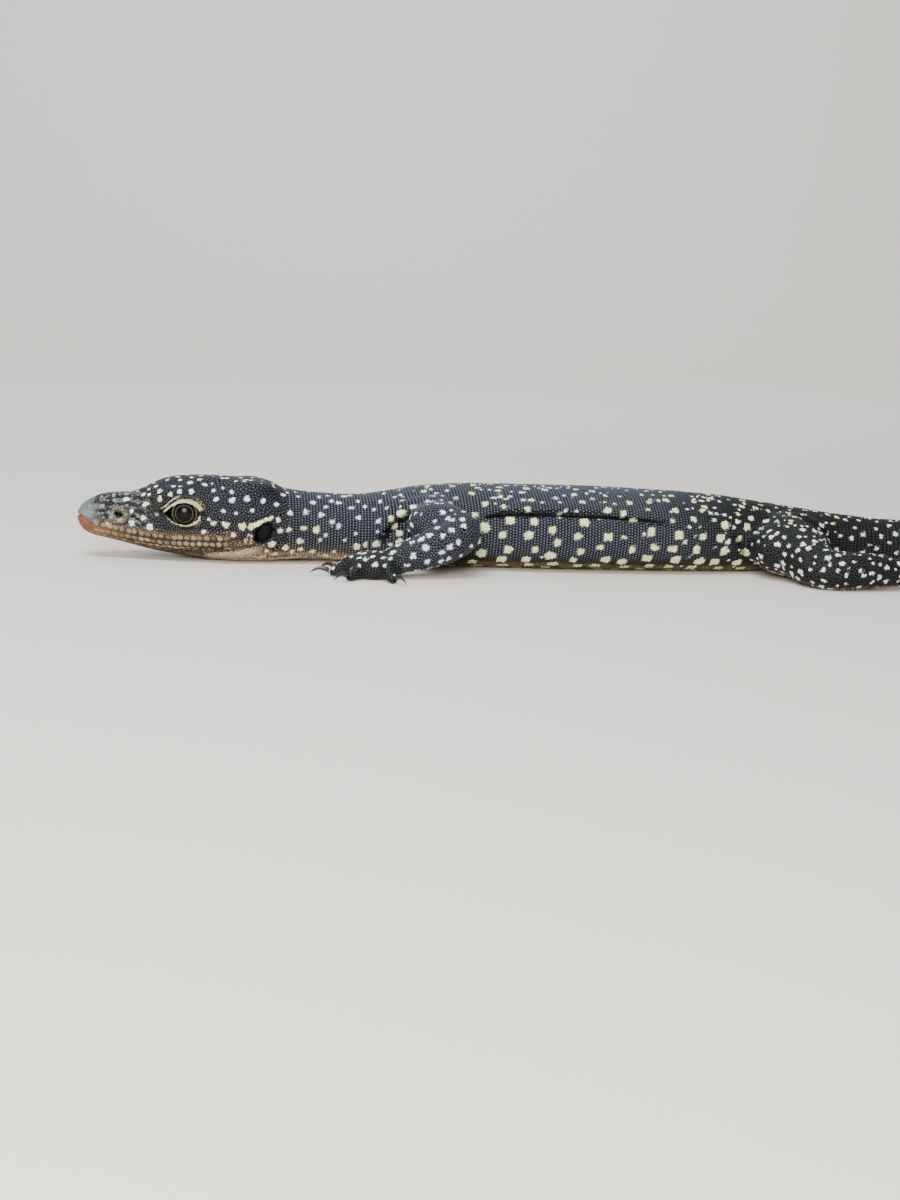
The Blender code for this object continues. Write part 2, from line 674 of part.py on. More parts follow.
# Assembly
body = make_body()
nodes = divide(body)
discard(body)
for side in ("left", "right"):
    nodes.update(limb(side, ("upper_arm", "forearm", "hand"), ARM_PATH, ARM_RADII, ARM_MUSCLES,
                      PALM_CENTRE, PALM_RADII, 0.0, HAND_CLAW_ROOTS, HAND_DIGIT_RADII, HAND_ARCH,
                      HAND_CLAW_LENGTH, RIGHT_HAND_STEP, (nodes["torso"], nodes["neck"])))
    nodes.update(limb(side, ("thigh", "shank", "foot"), LEG_PATH, LEG_RADII, LEG_MUSCLES,
                      SOLE_CENTRE, SOLE_RADII, SOLE_TURN, FOOT_CLAW_ROOTS, FOOT_DIGIT_RADII,
                      FOOT_ARCH, FOOT_CLAW_LENGTH, RIGHT_FOOT_STEP,
                      (nodes["torso"], nodes["tail_1"])))
nodes.update(finish_head(nodes["head"]))


def finish_for(name):
    if name.startswith("claw_"):
        return "claw_horn"
    if name.startswith("eye_"):
        return "eye"
    return "eardrum" if name.startswith("eardrum_") else "scaled_skin"


MATERIALS = {}
for finish, (colour, roughness) in FINISHES.items():
    material = bpy.data.materials.new(finish)
    material.use_nodes = True
    shader = material.node_tree.nodes["Principled BSDF"]
    shader.inputs["Base Color"].default_value = colour
    shader.inputs["Roughness"].default_value = roughness
    shader.inputs["Metallic"].default_value = 0.0
    MATERIALS[finish] = material

# The origin is the middle of the whole outline, on the floor
corners = [vert.co for piece in nodes.values() for vert in piece.data.vertices]
low = [min(corner[axis] for corner in corners) for axis in range(3)]
high = [max(corner[axis] for corner in corners) for axis in range(3)]
centre_shift = Matrix.Translation((-(low[0] + high[0]) / 2, -(low[1] + high[1]) / 2, 0.0))
for name, piece in nodes.items():
    piece.data.transform(Matrix.Scale(METRES, 4) @ centre_shift)
    piece.name = name
    piece.data.name = name
    CUTTERS.objects.unlink(piece)
    MODEL.objects.link(piece)
    piece.hide_render = False
    piece.display_type = "TEXTURED"
    piece.data.materials.clear()
    piece.data.materials.append(MATERIALS[finish_for(name)])
    piece.data.shade_smooth()
    piece.data.set_sharp_from_angle(angle=CRISP_ANGLE)
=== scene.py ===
import json
from itertools import product
from math import atan2, cos, pi, radians, sin

import bmesh
import bpy
import numpy as np
from mathutils import Matrix, Vector
from mathutils.bvhtree import BVHTree
from mathutils.kdtree import KDTree

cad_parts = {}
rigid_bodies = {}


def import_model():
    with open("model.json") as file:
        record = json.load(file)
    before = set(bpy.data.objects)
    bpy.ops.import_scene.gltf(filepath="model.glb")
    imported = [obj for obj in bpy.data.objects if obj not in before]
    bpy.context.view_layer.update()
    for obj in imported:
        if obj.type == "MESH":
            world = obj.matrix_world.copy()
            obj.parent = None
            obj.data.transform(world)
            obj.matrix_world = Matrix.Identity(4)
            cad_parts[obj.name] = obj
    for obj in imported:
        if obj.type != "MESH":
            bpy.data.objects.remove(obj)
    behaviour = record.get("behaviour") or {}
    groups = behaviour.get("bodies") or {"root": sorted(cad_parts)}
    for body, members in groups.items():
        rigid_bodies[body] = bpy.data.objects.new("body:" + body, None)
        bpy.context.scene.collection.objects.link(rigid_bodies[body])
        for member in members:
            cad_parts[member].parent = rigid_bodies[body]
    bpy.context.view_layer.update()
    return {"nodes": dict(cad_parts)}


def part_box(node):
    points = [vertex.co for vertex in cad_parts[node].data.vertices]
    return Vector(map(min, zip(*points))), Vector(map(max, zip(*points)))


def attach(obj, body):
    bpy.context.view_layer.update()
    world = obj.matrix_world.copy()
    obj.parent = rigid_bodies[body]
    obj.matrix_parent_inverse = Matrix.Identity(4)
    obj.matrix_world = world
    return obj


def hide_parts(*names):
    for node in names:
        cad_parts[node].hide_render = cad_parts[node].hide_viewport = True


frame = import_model()


# Skin
# One soft hide over head, trunk, tail and legs, grown in one piece. It is thin and
# leathery, dark between the scales, and tied down at the lids, lips, ears and folds.
MM = 0.001
EYE_CENTRE = Vector((17.2, -3.75, 8.1))
EYE_RADIUS = 2.6
EYE_TURN = radians(-8.0)
eye_low, eye_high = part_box("eye_left")
DESIGN_ORIGIN = (eye_low + eye_high) / 2 / MM - EYE_CENTRE
TO_ROW = Matrix.Scale(MM, 4) @ Matrix.Translation(DESIGN_ORIGIN)
TO_DESIGN = TO_ROW.inverted()
AXIS_NODES = ["head", "neck", "torso", "tail_1", "tail_2", "tail_3", "tail_4", "tail_5"]
LIMB_KINDS = {"arm": ("upper_arm", "forearm", "hand"), "leg": ("thigh", "shank", "foot")}
SIDES = ("left", "right")
FLIPS = {"left": 1.0, "right": -1.0}
LIMB_NODES = [part + "_" + side for side in SIDES for parts in LIMB_KINDS.values() for part in parts]
SEAM_GROWTH = 0.26
COAT_DEPTH = 0.12
SKIN_VOXEL = 0.42
FIRST_SMOOTHING = 4
SEAM_SMOOTHING = 7
HEAD_BACK = 36.5
LID_SHELL = 0.5


def design_mesh(node):
    """A CAD node's surface as a welded mesh in millimetres, in the design frame."""
    shape = bmesh.new()
    shape.from_mesh(frame["nodes"][node].data)
    bmesh.ops.transform(shape, matrix=TO_DESIGN, verts=shape.verts[:])
    bmesh.ops.remove_doubles(shape, verts=shape.verts[:], dist=0.002)
    shape.normal_update()
    return shape


def deselect_all():
    for thing in bpy.context.view_layer.objects:
        thing.select_set(False)


def start_from(operator, **settings):
    """Adds a primitive, alone in the selection, and gives back its object."""
    deselect_all()
    operator(**settings)
    return bpy.context.object


def add_object(name, data):
    thing = bpy.data.objects.new(name, data)
    bpy.context.scene.collection.objects.link(thing)
    return thing


def finish_modifier(thing, kind, **settings):
    deselect_all()
    thing.select_set(True)
    bpy.context.view_layer.objects.active = thing
    modifier = thing.modifiers.new(kind.lower(), kind)
    for key, value in settings.items():
        setattr(modifier, key, value)
    bpy.ops.object.modifier_apply(modifier=modifier.name)


def on_side(point, flip):
    """The point itself with flip 1, its mirror image across the middle with flip -1."""
    return Vector((point[0], point[1] * flip, point[2]))


EYE_CENTRES = [on_side(EYE_CENTRE, flip) for flip in FLIPS.values()]


def eye_distance(point):
    return min((point - centre).length for centre in EYE_CENTRES)


def on_digits(place):
    """On a hand or foot, past wrist and ankle."""
    aside = abs(place.y)
    return (aside > 11.0 and 36.0 < place.x < 51.5 and place.z < 4.5) or (aside > 15.0 and place.x > 139.0)


hide = bmesh.new()
node_trees = {}
for name in AXIS_NODES + LIMB_NODES:
    piece = design_mesh(name)
    node_trees[name] = BVHTree.FromBMesh(piece)
    for vert in piece.verts:
        vert.co += vert.normal * SEAM_GROWTH
    grown = bpy.data.meshes.new("grown")
    piece.to_mesh(grown)
    piece.free()
    hide.from_mesh(grown)
    bpy.data.meshes.remove(grown)
for centre in EYE_CENTRES:
    bmesh.ops.create_icosphere(hide, subdivisions=4, radius=EYE_RADIUS + LID_SHELL + SEAM_GROWTH,
                               matrix=Matrix.Translation(centre))
skin_mesh = bpy.data.meshes.new("skin")
hide.to_mesh(skin_mesh)
hide.free()
skin = add_object("skin", skin_mesh)
finish_modifier(skin, "REMESH", mode="VOXEL", voxel_size=SKIN_VOXEL)
finish_modifier(skin, "SMOOTH", factor=0.5, iterations=FIRST_SMOOTHING)
seams = skin.vertex_groups.new(name="seams")
seams.add([vert.index for vert in skin.data.vertices if not on_digits(vert.co)], 1.0, "REPLACE")
finish_modifier(skin, "SMOOTH", factor=0.5, iterations=SEAM_SMOOTHING, vertex_group="seams")
skin.vertex_groups.clear()


def refine(mesh, chosen):
    """Halves the edges of the faces whose middle the rule picks."""
    shape = bmesh.new()
    shape.from_mesh(mesh)
    shape.faces.ensure_lookup_table()
    shape.faces.index_update()
    picked = [chosen(face.calc_center_median()) for face in shape.faces]
    edges = [edge for edge in shape.edges if any(picked[face.index] for face in edge.link_faces)]
    bmesh.ops.subdivide_edges(shape, edges=edges, cuts=1, use_grid_fill=True)
    shape.to_mesh(mesh)
    shape.free()


EYELID_REACH = 4.6
refine(skin.data, lambda point: point.x < HEAD_BACK)
refine(skin.data, lambda point: eye_distance(point) < EYELID_REACH)
finish_modifier(skin, "SMOOTH", factor=0.5, iterations=2)

# The mouth's line on the side of the head, and the folds: points in side view, width,
# lift, and the shares of the length over which each end fades
MOUTH_X = (0.0, 1.3, 2.7, 8.2, 11.5, 15.3, 21.2, 24.3)
MOUTH_Z = (6.9, 6.0, 5.3, 4.3, 3.9, 3.6, 3.7, 3.9)
FOLDS = (
    ("throat fold", ((17.0, 1.7), (22.0, 1.9), (25.0, 2.3), (28.6, 3.2), (30.5, 4.0)), 0.26, -0.5,
     0.2, 0.2),
    ("jaw edge", ((14.0, 2.7), (20.0, 2.9), (24.5, 3.3), (28.5, 4.3)), 0.7, 0.18, 0.2, 0.2),
    ("throat roll", ((17.0, 0.9), (22.0, 1.1), (26.0, 1.6), (29.5, 2.6)), 0.5, 0.16, 0.2, 0.2),
    ("behind mouth", ((24.3, 3.9), (26.2, 4.3), (28.0, 4.0)), 0.28, -0.25, 0.1, 0.3),
    ("flank fold", ((65.5, 9.3), (70.0, 9.9), (78.0, 10.1), (87.0, 9.9), (96.0, 9.4), (104.0, 8.6)),
     0.27, -1.0, 0.06, 0.4),
    ("fold's upper roll", ((66.0, 10.9), (78.0, 11.2), (90.0, 11.0), (102.0, 10.0)), 0.9, 0.36, 0.1, 0.4),
    ("fold's lower roll", ((68.0, 8.6), (78.0, 8.9), (90.0, 8.7), (101.0, 8.1)), 0.8, 0.16, 0.1, 0.4),
    ("armpit crease", ((53.8, 9.9), (51.4, 7.6), (48.9, 4.4)), 0.42, -0.75, 0.2, 0.1),
    ("armpit roll", ((52.4, 10.4), (50.0, 8.0), (47.6, 5.2)), 0.7, 0.2, 0.2, 0.2),
    ("shoulder crease", ((58.6, 12.0), (56.6, 10.8), (55.0, 9.0)), 0.36, -0.5, 0.3, 0.2),
    ("neck crease front", ((36.5, 9.6), (38.0, 6.4), (38.4, 3.2)), 0.5, -0.2, 0.3, 0.2),
    ("neck crease back", ((43.5, 9.4), (44.6, 6.2), (44.6, 3.2)), 0.5, -0.22, 0.3, 0.2),
    ("groin crease", ((109.5, 7.6), (111.6, 5.0), (112.4, 2.0)), 0.5, -0.45, 0.3, 0.2),
)
MOUTH_GROOVE = (0.17, -0.34)
LIP_ROLL = (0.7, 0.5, 0.13)
CANTHUS = ((6.5, 9.3), (10.0, 10.0), (13.8, 11.2))
EAR_CENTRE = Vector((30.0, -7.9, 5.4))
EAR_TILT = radians(29.0)
LID_OPENING = (2.45, 1.8)
FRONT_CORNER = 3.1
CORNER_TAPER = 0.45


def step_up(low, high, value):
    t = np.clip((value - low) / (high - low), 0.0, 1.0)
    return t * t * (3.0 - 2.0 * t)


def side_place(points, route):
    """Distance in side view from each point to a broken line, and the share along it."""
    flat = points[:, (0, 2)]
    knots = np.array(route)
    lengths = np.linalg.norm(np.diff(knots, axis=0), axis=1)
    nearest = np.full(len(points), 1e9)
    share = np.zeros(len(points))
    for index, length in enumerate(lengths):
        start, way = knots[index], knots[index + 1] - knots[index]
        along = np.clip(((flat - start) @ way) / (way @ way), 0.0, 1.0)
        away = np.linalg.norm(flat - start - along[:, None] * way, axis=1)
        closer = away < nearest
        nearest[closer] = away[closer]
        share[closer] = (lengths[:index].sum() + along[closer] * length) / lengths.sum()
    return nearest, share


def side_distance(points, route):
    return side_place(points, route)[0]


def fold_shape(points, route, width, front_fade, rear_fade):
    """A fold's strength at each point: 1 along its line, fading to both ends."""
    away, share = side_place(points, route)
    return bell(away, width) * step_up(0.0, front_fade, share) * step_up(1.0, 1.0 - rear_fade, share)


def mouth_height(x):
    return np.interp(x, MOUTH_X, MOUTH_Z)


def eye_offsets(points):
    """Place round the nearer eye: forward to back, up, and distance from its centre."""
    centre = np.array(EYE_CENTRE)
    local = points.copy()
    local[:, 1] = -np.abs(local[:, 1])
    local = local - centre
    back = local[:, 0] * cos(EYE_TURN) + local[:, 1] * sin(EYE_TURN)
    return back, local[:, 2], np.linalg.norm(local, axis=1)


def bell(value, width):
    return np.exp(-((value / width) ** 2))


def lid_edge(points):
    """Millimetres out from the edge of the slit between the lids, which has a front corner."""
    back, up, away = eye_offsets(points)
    ahead = np.clip(-back / FRONT_CORNER, 0.0, 1.0)
    length = np.where(back > 0.0, LID_OPENING[0], FRONT_CORNER)
    height = LID_OPENING[1] * (1.0 - CORNER_TAPER * ahead**2)
    ring = np.sqrt((back / length) ** 2 + (up / height) ** 2) + 1e-6
    return (ring - 1.0) / ring * np.hypot(back, up), back, up, away


def lids_lift(points):
    """The lids' own ridges: a rim round the slit, a groove, and the brow's edge above."""
    edge, back, up, away = lid_edge(points)
    close = away < 4.8
    upper = np.clip(up / 1.2 + 0.3, 0.0, 1.0)
    lift = 0.24 * bell(edge - 0.3, 0.22) * (0.5 + 0.6 * upper)
    lift += -0.28 * bell(edge - 0.74, 0.15) * (0.3 + 0.8 * upper)
    lift += 0.24 * bell(edge - 1.12, 0.27) * (0.15 + 0.85 * upper)
    lift += -0.1 * bell(edge - 1.65, 0.22) * upper
    return lift * close


def ear_ring(points):
    """Distance round the ear's opening: 1 on its edge, seen from the side."""
    back = points[:, 0] - EAR_CENTRE.x
    up = points[:, 2] - EAR_CENTRE.z
    along = up * cos(EAR_TILT) + back * sin(EAR_TILT)
    across = back * cos(EAR_TILT) - up * sin(EAR_TILT)
    return np.sqrt((across / 1.35) ** 2 + (along / 2.05) ** 2)


def skin_lift(points, normals):
    """How far the skin's forms stand out from, or sink into, the smooth body."""
    lift = lids_lift(points)
    sideways = np.clip(np.abs(normals[:, 1]) * 1.6, 0.0, 1.0)
    on_axis = np.abs(points[:, 1]) < 12.2
    for _name, route, width, height, front_fade, rear_fade in FOLDS:
        lift += height * fold_shape(points, route, width, front_fade, rear_fade) * sideways * on_axis
    lift += 0.22 * bell(side_distance(points, CANTHUS), 0.5) * sideways
    lift += 0.2 * bell(ear_ring(points) - 1.22, 0.16) * sideways * (points[:, 0] < 34.0)
    nostril_ring = np.hypot((points[:, 0] - 6.2) / 1.25, (points[:, 2] - 7.6) / 0.95)
    lift += 0.16 * bell(nostril_ring - 1.0, 0.35) * sideways
    on_jaws = np.clip((25.0 - points[:, 0]) / 1.2, 0.0, 1.0)
    off_line = points[:, 2] - mouth_height(points[:, 0])
    upright = np.clip(1.35 - np.abs(normals[:, 2]), 0.0, 1.0)
    lift += on_jaws * upright * MOUTH_GROOVE[1] * bell(off_line, MOUTH_GROOVE[0])
    offset, spread, height = LIP_ROLL
    lift += on_jaws * upright * height * (bell(off_line - offset, spread) + bell(off_line + offset, spread))
    return lift


def read_points(mesh, field="co"):
    values = np.empty(len(mesh.vertices) * 3)
    (mesh.vertex_normals if field == "normal" else mesh.vertices).foreach_get(
        "vector" if field == "normal" else "co", values)
    return values.reshape(-1, 3)


def write_points(mesh, points):
    mesh.vertices.foreach_set("co", points.reshape(-1))
    mesh.update()


skin_points = read_points(skin.data)
skin_normals = read_points(skin.data, "normal")
skin_points = skin_points + skin_normals * (
    skin_lift(skin_points, skin_normals) - SEAM_GROWTH - COAT_DEPTH)[:, None]
skin_points[:, 2] = np.maximum(skin_points[:, 2], 0.05)
write_points(skin.data, skin_points)


# Openings in the skin
# The slit between the lids, the eye's socket, the cup of each ear and the nostrils,
# which are clean-edged holes in the hide, each on both sides of the head.
EAR_RADII = (1.4, 2.8, 2.1)
NOSTRIL_CENTRE = Vector((6.3, -3.75, 7.5))
NOSTRIL_RADII = (0.72, 1.2, 0.36)
NOSTRIL_TILT = radians(28.0)
CUTTER_SEGMENTS = 40
SLIT_DEPTH = 8.0


def cut_from_skin(cutter):
    finish_modifier(skin, "BOOLEAN", object=cutter, operation="DIFFERENCE", solver="MANIFOLD")
    bpy.data.objects.remove(cutter, do_unlink=True)


def eye_place(side):
    if side == "left":
        return Matrix.Translation(EYE_CENTRE) @ Matrix.Rotation(EYE_TURN, 4, "Z")
    return Matrix.Translation(EYE_CENTRES[1]) @ Matrix.Rotation(pi - EYE_TURN, 4, "Z")


def cut_ball(centre, radii, tilt=0.0):
    """Cuts a stretched ball, tilted in side view, out of the skin."""
    ball = start_from(bpy.ops.mesh.primitive_uv_sphere_add, segments=CUTTER_SEGMENTS, ring_count=24,
                      radius=1.0)
    ball.data.transform(Matrix.Translation(centre) @ Matrix.Rotation(tilt, 4, "Y")
                        @ Matrix.Diagonal((*radii, 1.0)))
    cut_from_skin(ball)


for side, flip in FLIPS.items():
    slit = start_from(bpy.ops.mesh.primitive_cylinder_add, vertices=48, radius=1.0, depth=SLIT_DEPTH)
    for vert in slit.data.vertices:
        across, up = vert.co.x, vert.co.y
        in_front = across * flip < 0.0
        vert.co.x = across * (FRONT_CORNER if in_front else LID_OPENING[0])
        vert.co.y = up * LID_OPENING[1] * (1.0 - CORNER_TAPER * across**2 * in_front)
    lay = Matrix.Rotation(pi / 2, 4, "X") @ Matrix.Translation((0.0, 0.0, SLIT_DEPTH / 2))
    slit.data.transform(eye_place(side) @ lay)
    cut_from_skin(slit)
    cut_ball(eye_place(side).translation, (EYE_RADIUS + 0.03,) * 3)
    cut_ball(on_side(EAR_CENTRE, flip), EAR_RADII, EAR_TILT)
    cut_ball(on_side(NOSTRIL_CENTRE, flip), NOSTRIL_RADII, NOSTRIL_TILT)

skin_shape = bmesh.new()
skin_shape.from_mesh(skin.data)
skin_tree = BVHTree.FromBMesh(skin_shape)
skin_shape.free()


def side_hit(x, z, flip):
    """Where a level ray from that side meets the skin, and the skin's normal there."""
    return skin_tree.ray_cast(Vector((x, -20.0 * flip, z)), Vector((0.0, flip, 0.0)))[:2]


def drop_hit(start):
    """Where a ray straight down meets the skin."""
    return skin_tree.ray_cast(start, Vector((0.0, 0.0, -1.0)))[0]


# Markings
# Blue-black ground with rings of cream spots on the trunk, white ones on head, neck
# and legs; tan jaws and throat, pink lip front, pale snout cap and eye-lids.
# Painted light in it too: part of the pale on each scale's crown is a painted highlight, and shade is
# painted over the rear back and hips and into the ear, nostril and creases.
UP = Vector((0.0, 0.0, 1.0))
SPINE_BEND_START = 150.0
SPINE_BEND_LENGTH = 96.0
SPINE_BEND_ANGLE = radians(30.0)
SPINE_STEP = 0.25
WHOLE_LENGTH = 331.0
ARM_PATH = ((54.5, -4.5, 8.2), (58.6, -9.8, 8.3), (61.4, -14.4, 6.9), (56.8, -16.6, 4.9),
            (51.0, -17.4, 3.1))
ARM_REACH = 5.6
LEG_PATH = ((119.5, -3.5, 6.4), (119.8, -12.0, 5.4), (121.8, -21.0, 3.3), (129.6, -21.4, 3.2),
            (138.0, -19.8, 2.6))
LEG_REACH = 8.6
RIGHT_STEP = {"arm": 3.0, "leg": -4.0}
LIMB_PATHS = {"arm": ARM_PATH, "leg": LEG_PATH}
STEP_SHARES = (0.0, 0.0, 0.0, 0.5, 1.0)
# The dot paints are the scales' pale middles: partly pale pigment, partly a painted highlight on each domed
# scale.
COLOURS = {
    "ground rim": "#030406", "ground dot": "#697486", "leg rim": "#040606", "leg dot": "#37413e",
    "brown rim": "#0d0a08", "brown dot": "#3b312b", "cream": "#f1f3c0", "white": "#f7f9f8",
    "warm white": "#eee2cf", "tan": "#c9aa8a", "snout cap": "#6d7479", "snout grey": "#8f928b",
    "lip pink": "#7d4d38", "lip orange": "#8a6949", "labial": "#9b8b71", "labial rim": "#382b20",
    "jaw": "#ab9678", "jaw rim": "#4c3f30", "jaw blotch": "#594833", "throat": "#f4ecd8",
    "belly": "#a59a7e", "lid": "#cfcdaa", "brow": "#a5a585", "brow grey": "#626b77",
    # The nostril and ear paints are near-black painted shade for the insides of those holes.
    "olive": "#17180f", "nostril": "#150b0a", "nostril rim": "#7d7757", "ear": "#0b0a0e",
}


def linear(code):
    """The linear values of an sRGB hex colour."""
    values = np.array([int(code[i:i + 2], 16) / 255 for i in (1, 3, 5)])
    return np.where(values <= 0.04045, values / 12.92, ((values + 0.055) / 1.055) ** 2.4)


PAINT = {name: linear(code) for name, code in COLOURS.items()}


def spine_heading(distance):
    if distance < SPINE_BEND_START:
        return 0.0
    return SPINE_BEND_ANGLE * sin(pi * (distance - SPINE_BEND_START) / SPINE_BEND_LENGTH)


spine_steps = np.arange(0.0, WHOLE_LENGTH + SPINE_STEP, SPINE_STEP)
spine_points = [Vector((0.0, 0.0, 0.0))]
for start in spine_steps[:-1]:
    heading = spine_heading(start + SPINE_STEP / 2)
    spine_points.append(spine_points[-1] + Vector((cos(heading), sin(heading), 0.0)) * SPINE_STEP)


def spine_frame(distance):
    """Point on the floor under the spine, the way along and the way across it."""
    index = min(int(distance / SPINE_STEP), len(spine_points) - 1)
    heading = spine_heading(distance)
    along = Vector((cos(heading), sin(heading), 0.0))
    place = spine_points[index] + along * (distance - spine_steps[index])
    return place, along, Vector((-along.y, along.x, 0.0))


def limb_path(kind, side):
    """The limb's bone points on one side, smoothed into a close-set line."""
    step = RIGHT_STEP[kind] if side == "right" else 0.0
    knots = [np.array((p[0] + step * share, p[1] * FLIPS[side], p[2]))
             for p, share in zip(LIMB_PATHS[kind], STEP_SHARES)]
    knots = [2 * knots[0] - knots[1]] + knots + [2 * knots[-1] - knots[-2]]
    line = []
    for index in range(1, len(knots) - 2):
        a, b, c, d = knots[index - 1:index + 3]
        for t in np.arange(0.0, 1.0, 0.04):
            line.append(0.5 * (2 * b + (c - a) * t + (2 * a - 5 * b + 4 * c - d) * t**2
                               + (3 * b - a - 3 * c + d) * t**3))
    return [Vector(point) for point in line]


def belongs(point, names, slack=0.5):
    """On the skin of one of these nodes."""
    return any(node_trees[name].find_nearest(point, slack)[0] is not None for name in names)


def finder_of(points):
    finder = KDTree(len(points))
    for index, place in enumerate(points):
        finder.insert(place, index)
    finder.balance()
    return finder


def ring_hits(centre, across, up, reach, rays):
    """Where rays from a centre meet the skin, going round once."""
    hits = []
    for number in range(rays):
        angle = 2 * pi * number / rays
        hits.append(skin_tree.ray_cast(centre, across * cos(angle) + up * sin(angle), reach)[0])
    return hits


def walk_ring(hits, pitch, phase):
    """Points evenly set along the ring of hits, about a pitch apart."""
    steps = []
    total = 0.0
    for here, after in zip(hits, hits[1:] + hits[:1]):
        length = (after - here).length if here is not None and after is not None else 0.0
        steps.append(length)
        total += length
    count = max(3, round(total / pitch))
    even = total / count
    wanted = phase * even
    walked = 0.0
    spots = []
    for index, length in enumerate(steps):
        here, after = hits[index], hits[(index + 1) % len(hits)]
        while length > 0.0 and wanted <= walked + length and len(spots) < count:
            spots.append(here.lerp(after, (wanted - walked) / length))
            wanted += even
        walked += length
    return spots, even


SPOT_GAP = 0.22
rng = np.random.default_rng(7)
spot_places = []
spot_radii = []
spot_paints = []


def add_spot(place, radius, paint, spread=0.0):
    """Adds a spot unless it would touch an earlier one."""
    place = np.array(place) + rng.normal(0.0, 1.0, 3) * spread
    if spot_places:
        gaps = np.linalg.norm(np.array(spot_places) - place, axis=1) - np.array(spot_radii)
        if gaps.min() < radius + SPOT_GAP:
            return
    spot_places.append(tuple(place))
    spot_radii.append(radius)
    spot_paints.append(PAINT[paint])


def add_ring(distance, height, pitch, phase, dress):
    """Spots round the body at one distance; the rule gives each its radius and paint."""
    ground, along, across = spine_frame(distance)
    hits = ring_hits(ground + UP * height, across, UP, 14.0, 48)
    for number, place in enumerate(walk_ring(hits, pitch, phase)[0]):
        zigzag = along * (0.55 if number % 2 else -0.55)
        chosen = dress(place)
        if chosen is not None:
            add_spot(place + zigzag, *chosen)


def neck_spot(place):
    if place.z < 4.0:
        return rng.uniform(0.42, 0.58), "warm white", 0.3
    return rng.uniform(0.3, 0.44), "white", 0.25


def neck_fleck(place):
    return (rng.uniform(0.2, 0.32), "white", 0.4) if rng.random() < 0.6 else None


def trunk_spot(place):
    if place.z < 3.4:
        return rng.uniform(0.72, 0.88), "cream", 0.15
    if place.z < 9.0:
        return rng.uniform(0.56, 0.76), "cream", 0.2
    return rng.uniform(0.4, 0.56), "cream", 0.25


def back_fleck(place):
    if place.z > 9.6 and rng.random() < 0.75:
        return rng.uniform(0.22, 0.38), "white", 0.35
    if rng.random() < 0.1:
        return rng.uniform(0.2, 0.3), "white", 0.4
    return None


def hip_spot(place):
    return rng.uniform(0.36, 0.52), "cream" if rng.random() < 0.5 else "white", 0.3


def hip_fleck(place):
    if rng.random() < (0.35 if place.z > 9.5 else 0.85):
        return rng.uniform(0.16, 0.32), "white", 0.35
    return None


def tail_spot(place):
    return rng.uniform(0.26, 0.44), "white", 0.16


# Spots of head, neck and shoulder that stand out one by one: side view place, radius, paint
SIDE_SPOTS = (
    (3.4, 10.1, 0.3, "snout grey"), (3.6, 8.7, 0.42, "snout grey"), (4.4, 5.8, 0.4, "tan"),
    (5.1, 7.2, 0.4, "snout grey"), (5.5, 10.4, 0.36, "snout grey"), (5.6, 9.7, 0.36, "snout grey"),
    (6.6, 6.4, 0.4, "snout grey"), (7.5, 9.9, 0.5, "white"), (7.6, 10.6, 0.35, "snout grey"),
    (8.3, 9.8, 0.4, "white"), (8.4, 8.1, 0.34, "white"), (8.5, 6.1, 0.42, "white"),
    (9.4, 7.4, 0.28, "snout grey"), (10.3, 7.1, 0.36, "white"), (10.3, 10.8, 0.4, "white"),
    (10.7, 9.3, 0.42, "white"), (11.4, 5.7, 0.45, "white"), (12.5, 7.9, 0.38, "white"),
    (12.9, 10.3, 0.45, "cream"), (12.9, 11.6, 0.42, "white"), (14.6, 11.2, 0.34, "warm white"),
    (15.1, 12.4, 0.4, "white"), (16.1, 11.7, 0.34, "white"), (17.8, 13.0, 0.42, "white"),
    (18.0, 11.7, 0.45, "white"), (20.0, 5.3, 0.38, "white"), (20.1, 12.8, 0.38, "white"),
    (21.0, 7.4, 0.25, "white"), (21.6, 6.8, 0.42, "warm white"), (21.7, 12.0, 0.36, "white"),
    (22.1, 10.7, 0.4, "white"), (23.2, 8.9, 0.28, "white"), (23.6, 6.7, 0.5, "cream"),
    (24.6, 10.6, 0.5, "white"), (24.6, 11.8, 0.36, "white"), (24.8, 5.0, 0.42, "warm white"),
    (25.3, 8.6, 0.3, "white"), (26.4, 6.5, 0.6, "cream"), (26.9, 4.3, 0.26, "warm white"),
    (27.1, 10.9, 0.5, "white"), (27.9, 9.1, 0.34, "white"), (29.7, 10.6, 0.45, "white"),
    (30.0, 0.9, 0.55, "tan"), (30.5, 2.3, 0.36, "warm white"), (31.3, 3.5, 0.6, "warm white"),
    (31.9, 10.0, 0.4, "white"), (32.0, 1.7, 0.45, "warm white"), (32.2, 7.6, 0.42, "warm white"),
    (32.5, 5.8, 0.45, "warm white"), (33.1, 11.4, 0.42, "white"), (33.6, 2.9, 0.5, "warm white"),
    (34.1, 6.0, 0.4, "warm white"), (34.3, 8.6, 0.42, "white"), (34.7, 2.2, 0.45, "warm white"),
    (35.7, 11.1, 0.36, "white"), (35.9, 4.1, 0.5, "warm white"), (36.1, 2.6, 0.38, "warm white"),
    (36.4, 6.2, 0.4, "cream"), (36.8, 8.8, 0.45, "white"), (38.6, 6.0, 0.58, "cream"),
    (52.3, 9.3, 0.66, "cream"), (50.8, 8.4, 0.5, "cream"), (51.6, 7.0, 0.5, "cream"),
)
for x, z, radius, paint in SIDE_SPOTS:
    for way in (1.0, -1.0):
        found = side_hit(x, z, way)[0]
        if found is not None:
            add_spot(found, radius, paint)
for number, x in enumerate(np.arange(6.0, 36.5, 1.7)):
    for y in np.arange(-4.2, 4.3, 1.7):
        start = Vector((x, y + 0.85 * (number % 2), 30.0)) + Vector(rng.normal(0.0, 0.3, 3))
        found = drop_hit(start)
        if found is not None and found.z > 11.6 - 1.2 * (x < 12.0):
            add_spot(found, rng.uniform(0.2, 0.38), "white")

